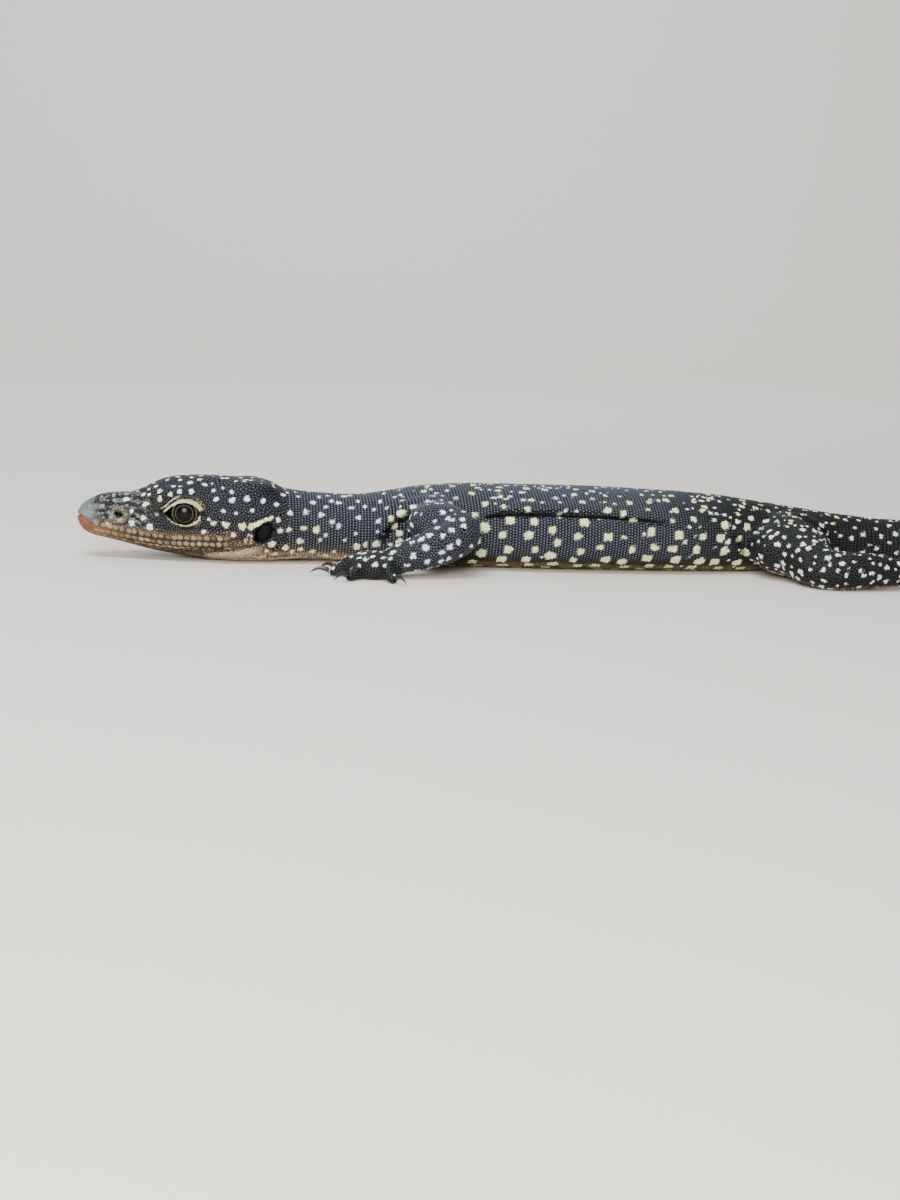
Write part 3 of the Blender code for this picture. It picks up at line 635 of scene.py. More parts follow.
# Big cream spots in loose bands on the trunk, small white ones on neck, hips and tail
for start, end, step, height, pitch, dress in (
        (38.6, 52.0, 2.2, 6.4, 2.2, neck_spot), (53.0, 114.0, 4.2, 6.6, 2.35, trunk_spot),
        (106.0, 131.0, 2.7, 6.2, 2.5, hip_spot)):
    for number, distance in enumerate(np.arange(start, end, step)):
        add_ring(distance, height, pitch, 0.5 * (number % 2), dress)
for start, end, step, height, pitch, dress in (
        (39.7, 52.0, 2.2, 6.4, 2.6, neck_fleck), (54.4, 114.0, 1.4, 6.6, 1.9, back_fleck),
        (101.0, 131.0, 1.2, 6.2, 1.4, hip_fleck)):
    for distance in np.arange(start, end, step):
        add_ring(distance, height, pitch, rng.random(), dress)
for number, distance in enumerate(np.arange(130.5, WHOLE_LENGTH - 3.0, 2.6)):
    left = 1.0 - (distance - 129.0) / (WHOLE_LENGTH - 129.0)
    add_ring(distance, 0.5 + 4.2 * left, 1.7, 0.5 * (number % 2), tail_spot)

# White spots in rings on the limbs, flecks in between on the thighs, ovals on the hands
for side in SIDES:
    for kind, reach, first, pitch in (("arm", ARM_REACH, 14, 2.1), ("leg", LEG_REACH, 8, 1.1)):
        line = limb_path(kind, side)
        for index in range(first, len(line) - 1, 7 if kind == "arm" else 4):
            along = (line[index + 1] - line[index]).normalized()
            across = along.cross(UP).normalized()
            hits = ring_hits(line[index], across, across.cross(along), reach, 28)
            for place in walk_ring(hits, pitch, rng.random())[0]:
                big = rng.random() < (0.85 if kind == "arm" else 0.5)
                add_spot(place, rng.uniform(0.34, 0.48) if big else rng.uniform(0.18, 0.28), "white", 0.25)
    for part in ("hand", "foot"):
        low, high = (TO_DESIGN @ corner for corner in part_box(part + "_" + side))
        for x in np.arange(low.x, high.x, 1.15):
            for y in np.arange(low.y, high.y, 1.0):
                start = Vector((x, y, 14.0)) + Vector(rng.uniform(-0.4, 0.4, 3))
                found = drop_hit(start)
                if found is not None and rng.random() < 0.85 and belongs(found, (part + "_" + side,)):
                    add_spot(found, rng.uniform(0.26, 0.42), "white")

spot_places = np.array(spot_places)
spot_radii = np.array(spot_radii)
spot_paints = np.array(spot_paints)
spot_finder = finder_of(spot_places)


def mottle(points, size, seed):
    """Soft, even noise from 0 to 1, with blotches about the given size."""
    p = points * (2 * pi / size) + seed
    wave = np.sin(p[:, 0] + 1.7 * np.sin(0.7 * p[:, 2]))
    wave *= np.sin(0.9 * p[:, 1] + 1.3 * np.sin(0.8 * p[:, 0]))
    wave += np.sin(0.8 * p[:, 2] + 1.1 * np.sin(1.1 * p[:, 1] + seed))
    return np.clip(0.5 + 0.3 * wave, 0.0, 1.0)


NECK_BACK = 49.0
SPOT_SQUARENESS = 3.5


class Tints:
    """Colour of each place's scale, at its middle and at its rim; the pale middle is partly a painted
    highlight.
    """

    def __init__(self, count):
        self.middle = np.tile(PAINT["ground dot"], (count, 1))
        self.rim = np.tile(PAINT["ground rim"], (count, 1))

    def lay(self, share, middle, rim, rim_share=1.0):
        """Lays one paint over the middle and one over the rim, as far as the share goes."""
        share = np.clip(share, 0.0, 1.0)[:, None]
        self.middle = self.middle * (1.0 - share) + PAINT[middle] * share
        share = share * rim_share
        self.rim = self.rim * (1.0 - share) + PAINT[rim] * share

    def darken(self, share):
        share = np.clip(share, 0.0, 1.0)[:, None]
        self.middle = self.middle * (1.0 - share)
        self.rim = self.rim * (1.0 - share)


def markings(points, normals):
    """The whole pattern: ground first, then jaws and snout, spots, lids, ear and folds, the last two with
    painted shade.
    """
    x, z = points[:, 0], points[:, 2]
    tints = Tints(len(points))
    limb = step_up(12.3, 13.4, np.abs(points[:, 1])) * step_up(36.0, 37.0, x)
    hand = limb * step_up(55.0, 48.0, x)
    # The legs' darker paints are partly painted shade, for the light fading toward the tail.
    tints.lay(np.maximum(step_up(92.0, 116.0, x), 0.9 * hand), "leg dot", "leg rim")
    # Painted shade: the top of the rear trunk darkened, for the light fading toward the tail.
    tints.darken(0.45 * step_up(7.5, 10.0, z) * step_up(92.0, 112.0, x))
    # Painted shade over the hips; the limbs are darkened a little as well.
    hips = bell(np.hypot((x - 121.0) / 9.0, (np.abs(points[:, 1]) - 11.5) / 5.0), 1.0)
    tints.darken(np.maximum(0.2 * limb, 0.38 * hips))
    low_flank = step_up(3.4, 1.6, z) * step_up(50.0, 58.0, x) * step_up(122.0, 112.0, x) * (1.0 - limb)
    tints.lay(low_flank, "brown dot", "brown rim")
    under = step_up(-0.72, -0.95, normals[:, 2]) * step_up(2.6, 1.0, z)
    tints.lay(under * step_up(0.35, 0.6, mottle(points, 5.0, 1.0)), "belly", "brown dot")

    above_mouth = z - mouth_height(x)
    head = step_up(31.0, 26.0, x)
    jaw = head * step_up(0.2, -0.2, above_mouth)
    patches = mottle(points, 2.2, 6.0)
    tints.darken(0.42 * step_up(40.0, 30.0, x))
    on_axis = step_up(12.6, 12.2, np.abs(points[:, 1]))
    ragged = z + 3.0 * (patches - 0.5) + 1.2 * (mottle(points, 0.9, 5.0) - 0.5)
    low_neck = step_up(52.0, 38.0, x) * step_up(4.6, 1.8, ragged) * on_axis
    tints.lay(low_neck * 0.6, "jaw", "brown rim")
    jaw = np.maximum(jaw, low_neck * step_up(2.4, 1.2, z))
    tints.lay(jaw, "jaw", "jaw rim")
    tints.lay(jaw * step_up(19.0, 26.0, x) * step_up(3.2, 2.0, z), "throat", "jaw", 0.8)
    beside_lips = step_up(1.0, 1.3, np.abs(above_mouth))
    blotchy = step_up(0.52, 0.62, mottle(points, 1.7, 4.0)) * beside_lips
    tints.lay(jaw * blotchy * 0.85, "jaw blotch", "brown rim")
    # A pale band along the throat's roll: partly pale throat colour, partly a painted highlight where the
    # roll catches light.
    band = bell(side_distance(points, ((21.5, 1.0), (25.0, 1.4), (28.9, 2.5), (30.2, 3.1))), 0.6)
    tints.lay(band * head * 1.5, "throat", "labial", 0.85)
    lips = head * step_up(-1.9, -1.6, above_mouth) * step_up(1.9, 1.6, above_mouth) * step_up(27.0, 24.0, x)
    patchy = 1.0 - 0.75 * beside_lips * step_up(0.56, 0.46, mottle(points, 1.6, 2.0))
    tints.lay(lips * patchy, "labial", "labial rim")
    smudged = step_up(0.5, 0.66, mottle(points, 2.6, 7.0)) * step_up(5.0, 8.0, x)
    tints.lay(lips * smudged * 0.5, "jaw rim", "labial rim")
    snout = step_up(13.5, 8.0, x) * step_up(0.8, 1.6, above_mouth)
    tints.darken(snout * 0.6)
    flecks = step_up(0.54, 0.58, mottle(points, 0.85, 9.0))
    tints.lay(snout * flecks * 0.9, "snout grey", "snout grey", 0.3)
    nostril = np.hypot((x - 6.4) / 1.1, (z - 7.45) / 0.75)
    rim_side = step_up(1.9, 1.1, nostril) * step_up(5.0, 6.0, z)
    tints.lay(rim_side * 0.5 * (x < 12.0), "nostril rim", "nostril rim", 0.7)
    cap_edge = x + 0.35 * np.maximum(z - 7.2, 0.0) + 0.9 * patches + 0.9 * mottle(points, 0.9, 3.0)
    cap = step_up(4.5, 2.9, cap_edge) * step_up(-0.1, 0.5, above_mouth)
    tints.lay(cap, "snout cap", "snout cap", 0.85)
    orange = step_up(9.5, 3.0, x) * step_up(1.1, 0.0, above_mouth)
    tints.lay(orange * 0.85, "lip orange", "lip orange", 0.6)
    pink = step_up(3.4, 0.4, x + 0.9 * patches) * step_up(1.2, -0.3, above_mouth)
    tints.lay(pink, "lip pink", "lip pink", 0.85)

    for index, point in enumerate(points):
        for place, number, distance in spot_finder.find_range(point, 1.1):
            offset = Vector(point) - place
            if point[0] > NECK_BACK:
                sides = abs(offset.x), np.hypot(offset.y, offset.z)
                distance = sum(side ** SPOT_SQUARENESS for side in sides) ** (1 / SPOT_SQUARENESS)
            if distance < spot_radii[number]:
                tints.middle[index] = spot_paints[number]
                tints.rim[index] = spot_paints[number] * 0.78

    edge, back, up, away = lid_edge(points)
    close = (away < 4.9) * 1.0
    front = step_up(-0.6, -2.2, back)
    rear = step_up(0.8, 2.2, back)
    corner = bell(np.hypot((back + 3.9) / 1.5, (up - 0.4) / 0.8), 1.0)
    tints.lay(close * step_up(0.9, 0.8, edge), "olive", "olive")
    tints.lay(corner * 1.4 * (away < 6.5), "olive", "olive")
    thick = 0.62 + 0.08 * rear - 0.16 * front
    upper = close * step_up(0.03, 0.08, edge) * step_up(thick + 0.05, thick - 0.02, edge)
    upper *= step_up(0.15 + 0.35 * rear, 0.4 + 0.5 * rear, up) * step_up(-3.5, -3.1, back)
    tints.lay(upper, "lid", "lid", 0.85)
    thick = 0.2 + 0.16 * rear + 0.12 * front
    lower = close * step_up(0.02, 0.05, edge) * step_up(thick + 0.05, thick - 0.02, edge)
    lower *= step_up(-0.15, -0.5, up) * step_up(-3.2, -2.2, back)
    tints.lay(lower * (0.75 + 0.25 * rear), "lid", "lid", 0.8)
    brow = close * step_up(0.86, 0.92, edge) * step_up(1.34, 1.26, edge) * step_up(0.6, 1.1, up)
    tints.lay(brow * 0.85, "brow grey", "olive", 0.8)
    tints.lay(brow * step_up(-0.5, -1.3, back), "brow", "brow", 0.7)
    tints.lay(brow * step_up(1.3, 2.0, back), "lid", "labial rim", 0.6)
    below = close * step_up(0.5, 0.58, edge) * step_up(0.86, 0.78, edge)
    tints.lay(below * step_up(-0.5, -1.2, up) * step_up(-0.4, -1.0, back) * 0.6, "brow", "labial rim", 0.6)
    tints.lay(below * step_up(-0.2, -0.6, up) * step_up(1.8, 2.3, back) * 0.9, "lid", "labial rim", 0.6)

    streak = side_distance(points, ((27.7, 6.4), (31.2, 8.0)))
    width = 0.46 - 0.07 * np.clip(x - 27.7, 0.0, 3.5)
    tints.lay(step_up(width + 0.08, width - 0.04, streak), "cream", "cream", 0.8)
    for route in (((26.9, 3.6), (27.3, 5.0)), ((27.6, 3.3), (27.9, 4.9))):
        tints.lay(step_up(0.26, 0.16, side_distance(points, route)), "throat", "labial", 0.6)
    # Painted shade: the ear's cup painted near-black, for the shade in its hollow.
    in_ear = step_up(1.08, 0.98, ear_ring(points)) * (x < 33.0)
    tints.lay(in_ear, "ear", "ear")
    # Painted shade: the nostril's hole painted near-black, for the shade inside it.
    hole = step_up(1.0, 0.8, np.hypot((x - 6.35) / 0.85, (z - 7.45) / 0.5)) * (np.abs(points[:, 1]) < 4.6)
    tints.lay(hole, "nostril", "nostril")
    # Painted shade: the skin darkened along the deep creases, where shade falls in them.
    for _name, route, fold_width, height, front_fade, rear_fade in FOLDS:
        if height < -0.4:
            tints.darken(0.85 * fold_shape(points, route, fold_width * 0.8, front_fade, rear_fade) * on_axis
                         * (np.abs(normals[:, 2]) < 0.9))
    return tints.middle, tints.rim


def paint_points(mesh, colours, name="tint"):
    layer = mesh.color_attributes.new(name=name, type="FLOAT_COLOR", domain="POINT")
    values = np.ones((len(colours), 4), np.float32)
    values[:, :3] = colours
    layer.data.foreach_set("color", values.reshape(-1))


skin_points = read_points(skin.data)
skin_normals = read_points(skin.data, "normal")
skin_rim = markings(skin_points, skin_normals)[1]
paint_points(skin.data, skin_rim)
skin.data.transform(TO_ROW)
skin.data.shade_smooth()


def add_node(tree, kind, settings=None, links=None):
    """Adds a node, sets its values and links its inputs from other nodes' outputs."""
    made = tree.nodes.new(kind)
    for key, value in (settings or {}).items():
        if isinstance(key, str) and hasattr(made, key):
            setattr(made, key, value)
        else:
            made.inputs[key].default_value = value
    for socket, source in (links or {}).items():
        tree.links.new(source, made.inputs[socket])
    return made


def new_material(name, settings):
    """A material with its shader's inputs set; gives the material, its node tree and shader."""
    material = bpy.data.materials.new(name)
    material.use_nodes = True
    shader = material.node_tree.nodes["Principled BSDF"]
    for key, value in settings.items():
        shader.inputs[key].default_value = value
    return material, material.node_tree, shader


def keratin(name, roughness, bump_strength, sheen):
    """Beta keratin over hide: a fine waxy sheen that breaks at every scale's edge."""
    material, tree, shader = new_material(name, {"Specular IOR Level": sheen})
    tint = add_node(tree, "ShaderNodeAttribute", {"attribute_name": "tint"})
    place = add_node(tree, "ShaderNodeTexCoord")
    speckle = add_node(tree, "ShaderNodeTexNoise", {"Scale": SKIN_GRAIN, "Detail": 3.0, "Roughness": 0.6},
                       {"Vector": place.outputs["Object"]})
    relief = add_node(tree, "ShaderNodeBump", {"Strength": bump_strength, "Distance": 0.00004},
                      {"Height": speckle.outputs["Fac"]})
    gloss = add_node(tree, "ShaderNodeMapRange", {"To Min": roughness - 0.08, "To Max": roughness + 0.1},
                     {"Value": speckle.outputs["Fac"]})
    tree.links.new(tint.outputs["Color"], shader.inputs["Base Color"])
    tree.links.new(gloss.outputs["Result"], shader.inputs["Roughness"])
    tree.links.new(relief.outputs["Normal"], shader.inputs["Normal"])
    return material


SKIN_GRAIN = 1.0 / 0.00022
hide_material = keratin("hide_between_scales", 0.62, 0.35, 0.15)
scale_material = keratin("beta_keratin_scales", 0.46, 0.15, 0.24)
skin.data.materials.clear()
skin.data.materials.append(hide_material)
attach(skin, "root")
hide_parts(*AXIS_NODES, *LIMB_NODES)


# Scales
# Small raised beads of keratin, each its own low dome, set in rings round neck, trunk
# and tail and scattered close on head and limbs; long in the tail, tiny at the lids.
SCALE_SIDES = 6
CROWN_SHARE = 0.46
SCALE_ROOT = 0.3
PATCH_HALF = 0.0015
bead = start_from(bpy.ops.mesh.primitive_cone_add, vertices=SCALE_SIDES, radius1=1.0,
                  radius2=CROWN_SHARE, depth=1.0, end_fill_type="NGON")
bpy.ops.object.mode_set(mode="EDIT")
bpy.ops.mesh.select_mode(type="FACE")
bpy.ops.mesh.select_all(action="DESELECT")
bpy.ops.object.mode_set(mode="OBJECT")
for face in bead.data.polygons:
    face.select = face.normal.z < -0.9
bpy.ops.object.mode_set(mode="EDIT")
bpy.ops.mesh.delete(type="FACE")
bpy.ops.object.mode_set(mode="OBJECT")
for face in bead.data.polygons:
    face.select = face.normal.z > 0.9
bpy.ops.object.mode_set(mode="EDIT")
bpy.ops.mesh.poke(offset=0.2)
bpy.ops.mesh.select_all(action="SELECT")
bpy.ops.mesh.quads_convert_to_tris()
bpy.ops.object.mode_set(mode="OBJECT")
bead_points = read_points(bead.data)
bead_points[:, 2] += 0.5 - SCALE_ROOT
bead_faces = np.array([tuple(face.vertices) for face in bead.data.polygons])
bpy.data.objects.remove(bead, do_unlink=True)
from_middle = np.linalg.norm(bead_points[:, :2], axis=1)


def set_scales(name, rows, crown, crown_rim, shades):
    """One mesh of many scales. A row is: root, normal, along, half length, half width, height,
    and the root's place on the unwrapped skin. The crown's width and colour, and the spread
    of lighter and darker scales, come with the kind."""
    # The crown takes the pale middle colour, partly pigment and partly a painted highlight on the dome; the
    # base takes the rim's.
    on_crown = (from_middle > 0.2) & (from_middle < 0.9)
    rim_share = np.where(from_middle > 0.9, 1.0, np.where(on_crown, crown_rim, 0.0))
    shape = bead_points.copy()
    shape[on_crown, :2] *= crown / CROWN_SHARE
    roots = np.array([row[0] for row in rows])
    normals = np.array([row[1] for row in rows])
    along = np.array([row[2] for row in rows])
    along = along - normals * (along * normals).sum(1)[:, None]
    along /= np.linalg.norm(along, axis=1)[:, None] + 1e-9
    across = np.cross(normals, along)
    sizes = np.array([row[3:6] for row in rows])
    flat = np.array([row[6] for row in rows])
    count = len(rows)
    corners = roots[:, None, :]
    for axis, way in enumerate((along, across, normals)):
        corners = corners + way[:, None, :] * (shape[:, axis] * sizes[:, axis:axis + 1])[..., None]
    corners[..., 2] = np.maximum(corners[..., 2], 0.0)
    middle, rim = markings(roots, normals)
    shade = np.random.default_rng(count).uniform(*shades, (count, 1))
    middle, rim = middle * shade, rim * shade
    share = rim_share[None, :, None]
    tints = middle[:, None, :] * (1.0 - share) + rim[:, None, :] * share
    faces = (bead_faces[None] + (np.arange(count) * len(bead_points))[:, None, None]).reshape(-1, 3)
    mesh = bpy.data.meshes.new(name)
    mesh.vertices.add(count * len(bead_points))
    mesh.vertices.foreach_set("co", corners.reshape(-1))
    mesh.loops.add(len(faces) * 3)
    mesh.loops.foreach_set("vertex_index", faces.reshape(-1).astype(np.int32))
    mesh.polygons.add(len(faces))
    mesh.polygons.foreach_set("loop_start", np.arange(0, len(faces) * 3, 3, dtype=np.int32))
    mesh.update(calc_edges=True)
    mesh.validate()
    paint_points(mesh, tints.reshape(-1, 3))
    patch = mesh.uv_layers.new(name="OFBake")
    uv = flat[:, None, :] + bead_points[None, :, :2] * PATCH_HALF
    patch.data.foreach_set("uv", uv.reshape(-1, 2)[faces.reshape(-1)].reshape(-1).astype(np.float32))
    mesh.transform(TO_ROW)
    mesh.shade_smooth()
    thing = add_object(name, mesh)
    mesh.materials.append(scale_material)
    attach(thing, "root")


def rooted(place, along, length, width, height, flat):
    found, normal = skin_tree.find_nearest(place)[:2]
    return (tuple(found), tuple(normal), tuple(along), length, width, height, flat)


def axis_rings(start, end, pitch, round_pitch, centre_height, reach, rays, height):
    """Rings of scales round the neck, trunk or tail between two distances."""
    rows = []
    count = round((end - start) / pitch)
    for number in range(count):
        distance = start + (number + 0.5) * (end - start) / count
        ground, along, across = spine_frame(distance)
        middle = ground + UP * centre_height(distance)
        hits = ring_hits(middle, across, UP, reach, rays)
        if sum(hit is not None for hit in hits) < rays // 2:
            continue
        places, even = walk_ring(hits, round_pitch, 0.5 * (number % 2))
        for index, place in enumerate(places):
            if not belongs(place, AXIS_NODES, 0.42):
                continue
            flat = (0.01 + 0.98 * number / count, 0.01 + 0.98 * (index + 0.5 * (number % 2)) / len(places))
            rows.append(rooted(place, along, pitch * 0.56, even * 0.55, height, flat))
    return rows


def trunk_middle(distance):
    return 6.5


def tail_middle(distance):
    left = 1.0 - (distance - 129.0) / (WHOLE_LENGTH - 129.0)
    return 0.55 + 4.3 * max(left, 0.0)


NECK_START = 34.0
TRUNK_CUTS = (49.0, 76.0, 103.0, 129.0)
BODY_PITCH = 0.52
ROUND_PITCH = 0.46
SCALE_HEIGHT = 0.13
coat = {}
coat["scales_neck"] = axis_rings(NECK_START, TRUNK_CUTS[0], 0.5, 0.45, trunk_middle, 12.0, 48, SCALE_HEIGHT)
for number, (start, end) in enumerate(zip(TRUNK_CUTS, TRUNK_CUTS[1:]), start=1):
    coat["scales_trunk_%d" % number] = axis_rings(start, end, BODY_PITCH, ROUND_PITCH, trunk_middle,
                                                  14.0, 56, SCALE_HEIGHT)
coat["scales_tail_1"] = axis_rings(129.0, 205.0, 0.72, 0.46, tail_middle, 7.5, 36, 0.13)
coat["scales_tail_2"] = axis_rings(205.0, WHOLE_LENGTH - 0.8, 0.8, 0.44, tail_middle, 5.5, 28, 0.11)

GRID_CELL = 0.8
FIRST_GAP = 0.8
SETTLED_GAP = 1.25
SETTLING_ROUNDS = 6
SETTLING_PUSH = 0.22


def scatter(faces_in, pitch_at, tries, seed):
    """Points spread over part of the skin, no two closer than the local pitch."""
    mesh = skin.data
    draw = np.random.default_rng(seed)
    polygons = [p for p in mesh.polygons if faces_in(TO_DESIGN @ p.center)]
    areas = np.array([p.area for p in polygons])
    picks = draw.choice(len(polygons), size=tries, p=areas / areas.sum())
    points = []
    for pick in picks:
        polygon = polygons[pick]
        weights = draw.dirichlet(np.ones(len(polygon.vertices)))
        place = Vector()
        for weight, index in zip(weights, polygon.vertices):
            place += mesh.vertices[index].co * weight
        points.append(TO_DESIGN @ place)
    grid = {}
    kept = []
    for place in points:
        gap = pitch_at(place) * FIRST_GAP
        key = tuple(int(value / GRID_CELL // 1) for value in place)
        if not any((other - place).length < gap for i, j, k in product((-1, 0, 1), repeat=3)
                   for other in grid.get((key[0] + i, key[1] + j, key[2] + k), ())):
            grid.setdefault(key, []).append(place)
            kept.append(place)
    for _round in range(SETTLING_ROUNDS):
        finder = finder_of(kept)
        moved = []
        for place in kept:
            gap = pitch_at(place) * SETTLED_GAP
            push = Vector()
            for other, _index, distance in finder.find_range(place, gap):
                if distance > 1e-6:
                    push += (place - other).normalized() * (gap - distance) * SETTLING_PUSH
            moved.append(skin_tree.find_nearest(place + push)[0])
        kept = moved
    finder = finder_of(kept)
    spaced = []
    for place in kept:
        near = finder.find_n(place, 5)[1:]
        spaced.append((place, float(np.mean([item[2] for item in near]))))
    return spaced


def limb_place(line, place):
    """A place's share of the way along a limb, its share round it, and the limb's course there."""
    closest, done = None, 0.0
    for start, end in zip(line, line[1:]):
        step = end - start
        share = min(max((place - start).dot(step) / step.length_squared, 0.0), 1.0)
        out = place - start - step * share
        if closest is None or out.length < closest[0]:
            across = step.cross(UP).normalized()
            turn = atan2(out.dot(across), out.dot(across.cross(step).normalized()))
            closest = (out.length, done + share * step.length, turn, step)
        done += step.length
    return closest[1] / done, 0.5 + 0.5 * closest[2] / pi, closest[3]


BOX_SLACK = 0.4


def in_box(place, low, high):
    return all(l - BOX_SLACK <= c <= h + BOX_SLACK for l, c, h in zip(low, place, high))


LIMB_PITCH = 0.45
for side in SIDES:
    rows = []
    for kind, tries, cell in (("arm", 15000, 0.0), ("leg", 28000, 0.5)):
        names = [part + "_" + side for part in LIMB_KINDS[kind][:2]]
        boxes = [[TO_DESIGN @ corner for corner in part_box(name)] for name in names]

        def on_limb(place):
            return any(in_box(place, *box) for box in boxes) and belongs(place, names, 0.42)

        line = limb_path(kind, side)[::4]
        for place, near in scatter(on_limb, lambda place: LIMB_PITCH, tries, 31):
            share, turn, course = limb_place(line, place)
            half = min(near, 0.6) * 0.54
            flat = (0.01 + 0.98 * share, cell + 0.01 + 0.48 * turn)
            rows.append(rooted(place, course, half * 1.08, half, 0.12, flat))
    coat["scales_limbs_" + side] = rows


def head_pitch(place):
    """Small at lids and cheeks, larger on the crown and snout."""
    eye = eye_distance(place)
    if eye < 3.6:
        return 0.3
    top = max(0.0, min(1.0, (place.z - 11.5) / 1.5))
    crown = 0.46 + 0.16 * top
    if place.x < 9.0:
        crown = 0.5
    if place.z < 3.0:
        crown = 0.48
    return crown if eye > EYELID_REACH else 0.36


def on_head(place):
    if place.x > NECK_START + 0.1:
        return False
    above = place.z - float(mouth_height(place.x))
    if place.x < 23.8 and -1.5 < above < 0.9:
        return False
    for flip in FLIPS.values():
        inside = Matrix.Rotation(-EAR_TILT, 3, "Y") @ (place - on_side(EAR_CENTRE, flip))
        if sum((value / radius) ** 2 for value, radius in zip(inside, EAR_RADII)) < 1.08:
            return False
    return eye_distance(place) >= EYE_RADIUS + 0.2


TAILWARD = Vector((1.0, 0.0, 0.0))
head_rows = []
for place, near in scatter(on_head, head_pitch, 42000, 11):
    flat = (0.02 + 0.96 * place.x / 36.0,
            0.5 + 0.48 * np.arctan2(place.y, place.z - 6.5) / pi)
    half = min(near, head_pitch(place) * 1.3) * 0.54
    head_rows.append(rooted(place, TAILWARD, half * 1.08, half, 0.09, flat))
coat["scales_head"] = head_rows

# Hands and feet are covered close with fine grains
for side in SIDES:
    rows = []
    for part, cell in (("hand", 0.0), ("foot", 0.5)):
        node = part + "_" + side
        low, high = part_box(node)
        low, high = TO_DESIGN @ low, TO_DESIGN @ high

        def in_part(place):
            return in_box(place, low, high) and belongs(place, (node,), 0.42)

        for place, near in scatter(in_part, lambda place: 0.44, 9000, 23):
            flat = (0.02 + 0.96 * (place.x - low.x + 0.5) / (high.x - low.x + 1.0),
                    cell + 0.02 + 0.2 * (place.y - low.y + 0.5) / (high.y - low.y + 1.0)
                    + (0.24 if place.z > 1.2 else 0.0))
            half = min(near, 0.56) * 0.54
            rows.append(rooted(place, TAILWARD, half, half, 0.1, flat))
    coat["scales_hand_and_foot_" + side] = rows

# Lip shields: a row of plates over the mouth's line and two rows under it
LIP_PITCH = 1.05
shield_rng = np.random.default_rng(5)
lip_rows = []
for way in (1.0, -1.0):
    for offset, half_height in ((0.52, 0.5), (-0.5, 0.47), (-1.22, 0.36)):
        first = 1.6 + (0.5 * LIP_PITCH if offset < -1.0 else 0.0)
        for x in np.arange(first, 24.2, LIP_PITCH) + shield_rng.uniform(-0.12, 0.12):
            x += shield_rng.uniform(-0.12, 0.12)
            z = float(mouth_height(x)) + offset + shield_rng.uniform(-0.06, 0.06)
            found, normal = side_hit(x, z, way)
            if found is None:
                continue
            slope = Vector((1.0, 0.0, float(mouth_height(x + 0.5) - mouth_height(x - 0.5))))
            flat = (0.02 + 0.96 * x / 26.0, 0.5 + 0.24 * way + 0.1 * offset)
            lip_rows.append((tuple(found), tuple(normal * (1 if normal.y * way < 0 else -1)),
                             tuple(slope), LIP_PITCH * shield_rng.uniform(0.46, 0.62),
                             half_height * shield_rng.uniform(0.85, 1.12), 0.05, flat))
coat["lip_shields"] = lip_rows

# Width of the crown, how much of the rim's colour it takes, and the range of shades
BODY_LOOK = (CROWN_SHARE, 0.68, (0.78, 1.18))
OWN_LOOKS = {"lip_shields": (0.84, 0.3, (0.5, 1.22)), "scales_head": (CROWN_SHARE, 0.85, (0.7, 1.3))}
for name, rows in coat.items():
    set_scales(name, rows, *OWN_LOOKS.get(name, BODY_LOOK))
    print("coat", name, len(rows), "scales")


# Eyes
# A wet ball with a near-black iris round a black round pupil, sunk in its socket
# behind the lids, as deep as a living eye sits.
EYE_PAINT = ((0.0, "#040404"), (1.32, "#050505"), (1.42, "#56554d"), (1.52, "#15140f"), (1.84, "#181711"),
             (1.97, "#86857b"), (2.08, "#26251a"), (2.5, "#2c2b19"))


def eye_material(side):
    material, tree, shader = new_material("wet_cornea_" + side, {
        "Roughness": 0.3, "Specular IOR Level": 0.1, "Coat Weight": 0.3, "Coat IOR": 1.376,
        "Coat Roughness": 0.02})
    place = add_node(tree, "ShaderNodeTexCoord")
    local = add_node(tree, "ShaderNodeMapping", {"vector_type": "TEXTURE"},
                     {"Vector": place.outputs["Object"]})
    local.inputs["Location"].default_value = TO_ROW @ eye_place(side).translation
    local.inputs["Rotation"].default_value = (0.0, 0.0, EYE_TURN * FLIPS[side])
    split = add_node(tree, "ShaderNodeSeparateXYZ", None, {"Vector": local.outputs["Vector"]})
    flat = add_node(tree, "ShaderNodeCombineXYZ", None, {"X": split.outputs["X"], "Z": split.outputs["Z"]})
    reach = add_node(tree, "ShaderNodeVectorMath", {"operation": "LENGTH"}, {0: flat.outputs["Vector"]})
    scaled = add_node(tree, "ShaderNodeMath", {"operation": "MULTIPLY", 1: 1.0 / (EYE_RADIUS * MM)},
                      {0: reach.outputs["Value"]})
    ramp = add_node(tree, "ShaderNodeValToRGB", None, {"Fac": scaled.outputs["Value"]})
    stops = ramp.color_ramp.elements
    while len(stops) < len(EYE_PAINT):
        stops.new(0.5)
    for stop, (radius, code) in zip(stops, EYE_PAINT):
        stop.position = radius / EYE_RADIUS
        stop.color = (*linear(code), 1.0)
    tree.links.new(ramp.outputs["Color"], shader.inputs["Base Color"])
    return material


for side in SIDES:
    eye = start_from(bpy.ops.mesh.primitive_uv_sphere_add, segments=64, ring_count=40,
                     radius=EYE_RADIUS * MM)
    eye.name = "eyeball_" + side
    stand = Matrix.Translation(TO_ROW @ eye_place(side).translation) @ Matrix.Rotation(pi / 2, 4, "X")
    eye.data.transform(stand)
    eye.data.shade_smooth()
    eye.data.materials.append(eye_material(side))
    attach(eye, "root")
    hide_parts("eye_" + side)


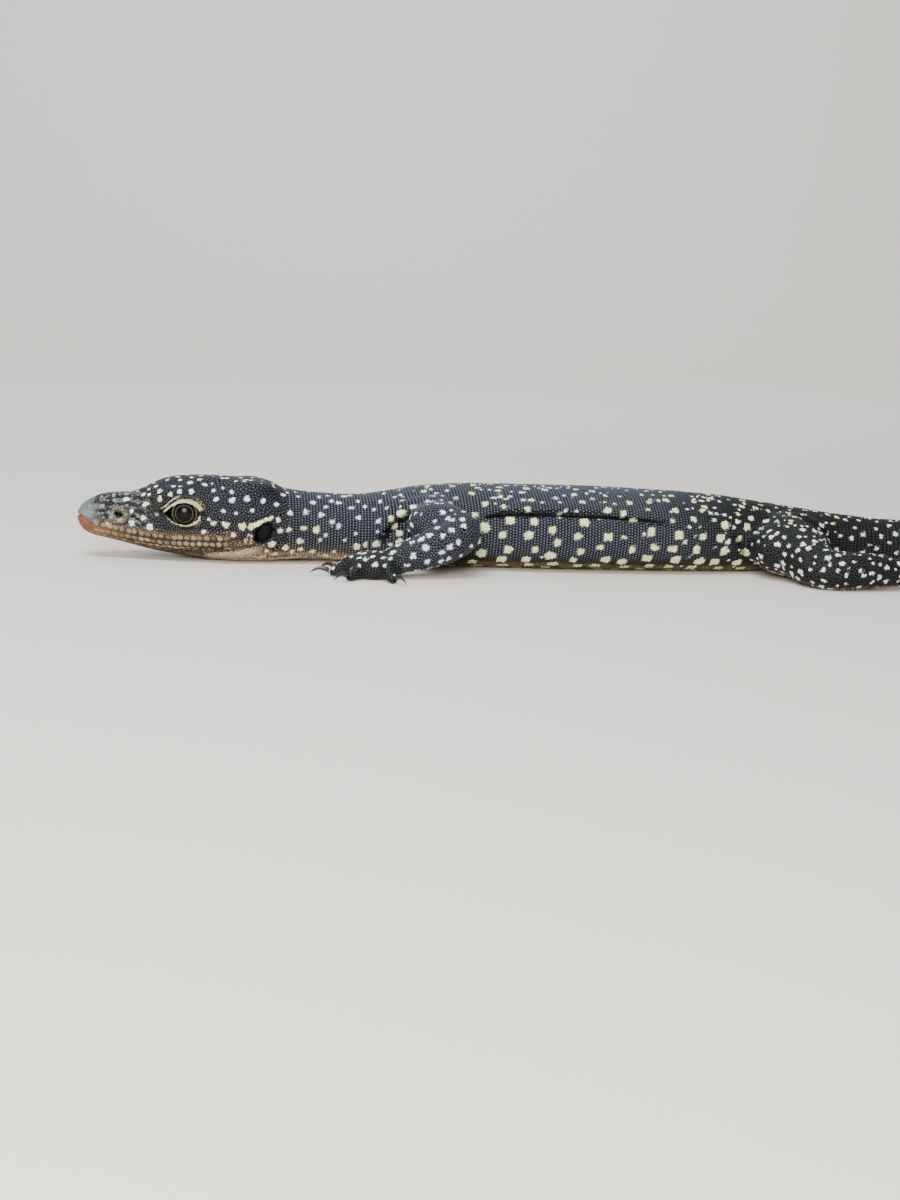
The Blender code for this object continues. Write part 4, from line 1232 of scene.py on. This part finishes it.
# Eardrums
# A thin, stretched membrane at the bottom of each ear's cup, faintly glossy and painted near-black for the
# shade of the hollow, fixed to the bone all round its edge.
DRUM_DEPTH = 2.25
drum_material = keratin("eardrum_membrane", 0.45, 0.1, 0.08)
for side, flip in FLIPS.items():
    drum = start_from(bpy.ops.mesh.primitive_uv_sphere_add, segments=32, ring_count=16, radius=1.0)
    drum.name = "drum_" + side
    centre = Vector((EAR_CENTRE.x, (EAR_CENTRE.y + DRUM_DEPTH) * flip, EAR_CENTRE.z))
    drum.data.transform(TO_ROW @ Matrix.Translation(centre) @ Matrix.Rotation(EAR_TILT, 4, "Y")
                        @ Matrix.Diagonal((1.05, 0.1, 1.55, 1.0)))
    # Painted shade: the drum's near-black colour stands for the shade deep in the ear's hollow.
    paint_points(drum.data, np.tile(linear("#120d18"), (len(drum.data.vertices), 1)))
    drum.data.shade_smooth()
    drum.data.materials.append(drum_material)
    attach(drum, "root")
    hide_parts("eardrum_" + side)


# Claws
# Hooked, side-flattened horn, dark brown and glossy, growing from the end of each digit.
CLAW_STEPS = 9
claw_material, claw_tree, claw_shader = new_material("claw_horn_polished_by_wear",
                                                     {"Roughness": 0.28, "IOR": 1.54})
claw_place = add_node(claw_tree, "ShaderNodeTexCoord")
claw_streak = add_node(claw_tree, "ShaderNodeTexNoise", {"Scale": 1.0 / 0.0006, "Detail": 4.0},
                       {"Vector": claw_place.outputs["Object"]})
claw_ramp = add_node(claw_tree, "ShaderNodeValToRGB", None, {"Fac": claw_streak.outputs["Fac"]})
claw_ramp.color_ramp.elements[0].color = (*linear("#110c0b"), 1.0)
claw_ramp.color_ramp.elements[1].color = (*linear("#302423"), 1.0)
claw_tree.links.new(claw_ramp.outputs["Color"], claw_shader.inputs["Base Color"])

for side in SIDES:
    for part in ("hand", "foot"):
        for number in range(1, 6):
            node = "claw_%s_%d_%s" % (part, number, side)
            shape = design_mesh(node)
            corners = sorted((vert.co.copy() for vert in shape.verts), key=lambda co: co.z)
            shape.free()
            tip = sum(corners[:6], Vector()) / 6
            far = sorted(corners, key=lambda co: (co.xy - tip.xy).length, reverse=True)
            root = sum(far[:6], Vector()) / 6
            heading = Vector((tip.x - root.x, tip.y - root.y, 0.0))
            length = heading.length
            heading.normalize()
            claw = start_from(bpy.ops.mesh.primitive_circle_add, vertices=14, radius=1.0,
                              fill_type="NGON")
            claw.name = node + "_horn"
            bpy.ops.object.mode_set(mode="EDIT")
            bpy.ops.mesh.select_all(action="SELECT")
            for _step in range(CLAW_STEPS):
                bpy.ops.mesh.extrude_region_move(TRANSFORM_OT_translate={"value": (0.0, 0.0, 1.0)})
            bpy.ops.object.mode_set(mode="OBJECT")
            sideways = heading.cross(UP)
            for vert in claw.data.vertices:
                t = vert.co.z / CLAW_STEPS
                thick = 0.43 * (1.0 - t) ** 0.75 + 0.04
                drop = (root.z - tip.z) * t**2.2 - 0.5 * sin(pi * t)
                spread = vert.co.copy()
                vert.co = (root + heading * (length * t - 0.35 * (1.0 - t)) - UP * drop
                           + sideways * spread.x * thick * 0.72 + UP * spread.y * thick)
            shape = bmesh.new()
            shape.from_mesh(claw.data)
            bmesh.ops.recalc_face_normals(shape, faces=shape.faces[:])
            for vert in shape.verts:
                vert.co.z = max(vert.co.z, 0.02)
            shape.to_mesh(claw.data)
            shape.free()
            claw.data.transform(TO_ROW)
            claw.data.shade_smooth()
            claw.data.materials.append(claw_material)
            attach(claw, "root")
            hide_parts(node)


# Floor and backdrop
# A matte studio sweep, pale and plain, curving up behind the model.
SWEEP_START = 0.5
floor = start_from(bpy.ops.mesh.primitive_plane_add, size=1.0)
floor.name = "studio_floor"
bpy.ops.object.mode_set(mode="EDIT")
bpy.ops.mesh.select_all(action="SELECT")
bpy.ops.transform.resize(value=(6.0, 4.0, 1.0))
bpy.ops.transform.translate(value=(0.0, -1.3, 0.0))
bpy.ops.mesh.select_mode(type="EDGE")
bpy.ops.mesh.select_all(action="DESELECT")
bpy.ops.object.mode_set(mode="OBJECT")
for vertex in floor.data.vertices:
    vertex.select = vertex.co.y > SWEEP_START
for edge in floor.data.edges:
    edge.select = all(floor.data.vertices[index].select for index in edge.vertices)
bpy.ops.object.mode_set(mode="EDIT")
for rise in range(10):
    angle = radians(4.5 + 9.0 * rise)
    bpy.ops.mesh.extrude_region_move(
        TRANSFORM_OT_translate={"value": (0.0, 0.06 * cos(angle), 0.06 * sin(angle))})
bpy.ops.mesh.extrude_region_move(TRANSFORM_OT_translate={"value": (0.0, 0.0, 3.0)})
bpy.ops.object.mode_set(mode="OBJECT")
floor.data.shade_smooth()
floor_material, floor_tree, floor_shader = new_material(
    "matte_paper_sweep", {"Base Color": (*linear("#d9d4cb"), 1.0), "Roughness": 0.75})
floor_place = add_node(floor_tree, "ShaderNodeTexCoord")
floor_grain = add_node(floor_tree, "ShaderNodeTexNoise", {"Scale": 900.0, "Detail": 3.0},
                       {"Vector": floor_place.outputs["Object"]})
floor_relief = add_node(floor_tree, "ShaderNodeBump", {"Strength": 0.05, "Distance": 0.0001},
                        {"Height": floor_grain.outputs["Fac"]})
floor_tree.links.new(floor_relief.outputs["Normal"], floor_shader.inputs["Normal"])
floor.data.materials.append(floor_material)


# Lights
# A broad soft lamp overhead, a warmer one at the front left, a cool strip behind that
# picks the scales out along the back, and a lamp for the backdrop alone.
def soft_lamp(name, place, aim, size, watts, code):
    lamp = bpy.data.lights.new(name, "AREA")
    lamp.shape = "RECTANGLE"
    lamp.size, lamp.size_y = size
    lamp.energy = watts
    lamp.color = linear(code)
    thing = add_object(name, lamp)
    thing.location = place
    thing.rotation_euler = (Vector(aim) - Vector(place)).to_track_quat("-Z", "Y").to_euler()


soft_lamp("overhead_lamp", (-0.22, -0.16, 0.42), (-0.14, 0.0, 0.0), (0.26, 0.2), 2.6, "#f4f7ff")
soft_lamp("front_lamp", (-0.22, -0.38, 0.16), (-0.09, 0.0, 0.01), (0.2, 0.18), 2.4, "#fff8ee")
soft_lamp("back_strip", (-0.16, 0.35, 0.30), (-0.1, 0.0, 0.0), (0.5, 0.12), 0.4, "#dfe9ff")
soft_lamp("backdrop_lamp", (0.0, 0.35, 0.75), (0.0, 1.1, 0.25), (1.4, 0.2), 14.0, "#f4f6fa")
world = bpy.data.worlds.new("studio_air")
bpy.context.scene.world = world
world.use_nodes = True
air = world.node_tree.nodes["Background"].inputs
air["Color"].default_value = (*linear("#e9edf2"), 1.0)
air["Strength"].default_value = 0.24


# Camera
# The photograph's view: from the animal's left, a little towards the head and above,
# with the phone tipped so that the belly's line falls to the right.
PHOTO_HEIGHT = 1200
FOCAL_PIXELS = 1765.0
CAMERA_PLACE = Vector((10.573, -295.705, 46.333))
CAMERA_YAW = radians(10.0)
CAMERA_DIP = radians(10.0)
CAMERA_ROLL = radians(2.6)
view_way = Vector((sin(CAMERA_YAW) * cos(CAMERA_DIP), cos(CAMERA_YAW) * cos(CAMERA_DIP),
                   -sin(CAMERA_DIP)))
level = Vector((cos(CAMERA_YAW), -sin(CAMERA_YAW), 0.0))
raised = level.cross(view_way)
right = level * cos(CAMERA_ROLL) + raised * sin(CAMERA_ROLL)
top = right.cross(view_way)
lens = bpy.data.cameras.new("phone_camera")
lens.sensor_fit = "AUTO"
lens.sensor_width = 36.0
lens.lens = FOCAL_PIXELS / PHOTO_HEIGHT * lens.sensor_width
lens.clip_start = 0.01
camera = add_object("phone_camera", lens)
turned = Matrix((right, top, -view_way)).transposed().to_4x4()
camera.matrix_world = Matrix.Translation(TO_ROW @ CAMERA_PLACE) @ turned
bpy.context.scene.camera = camera
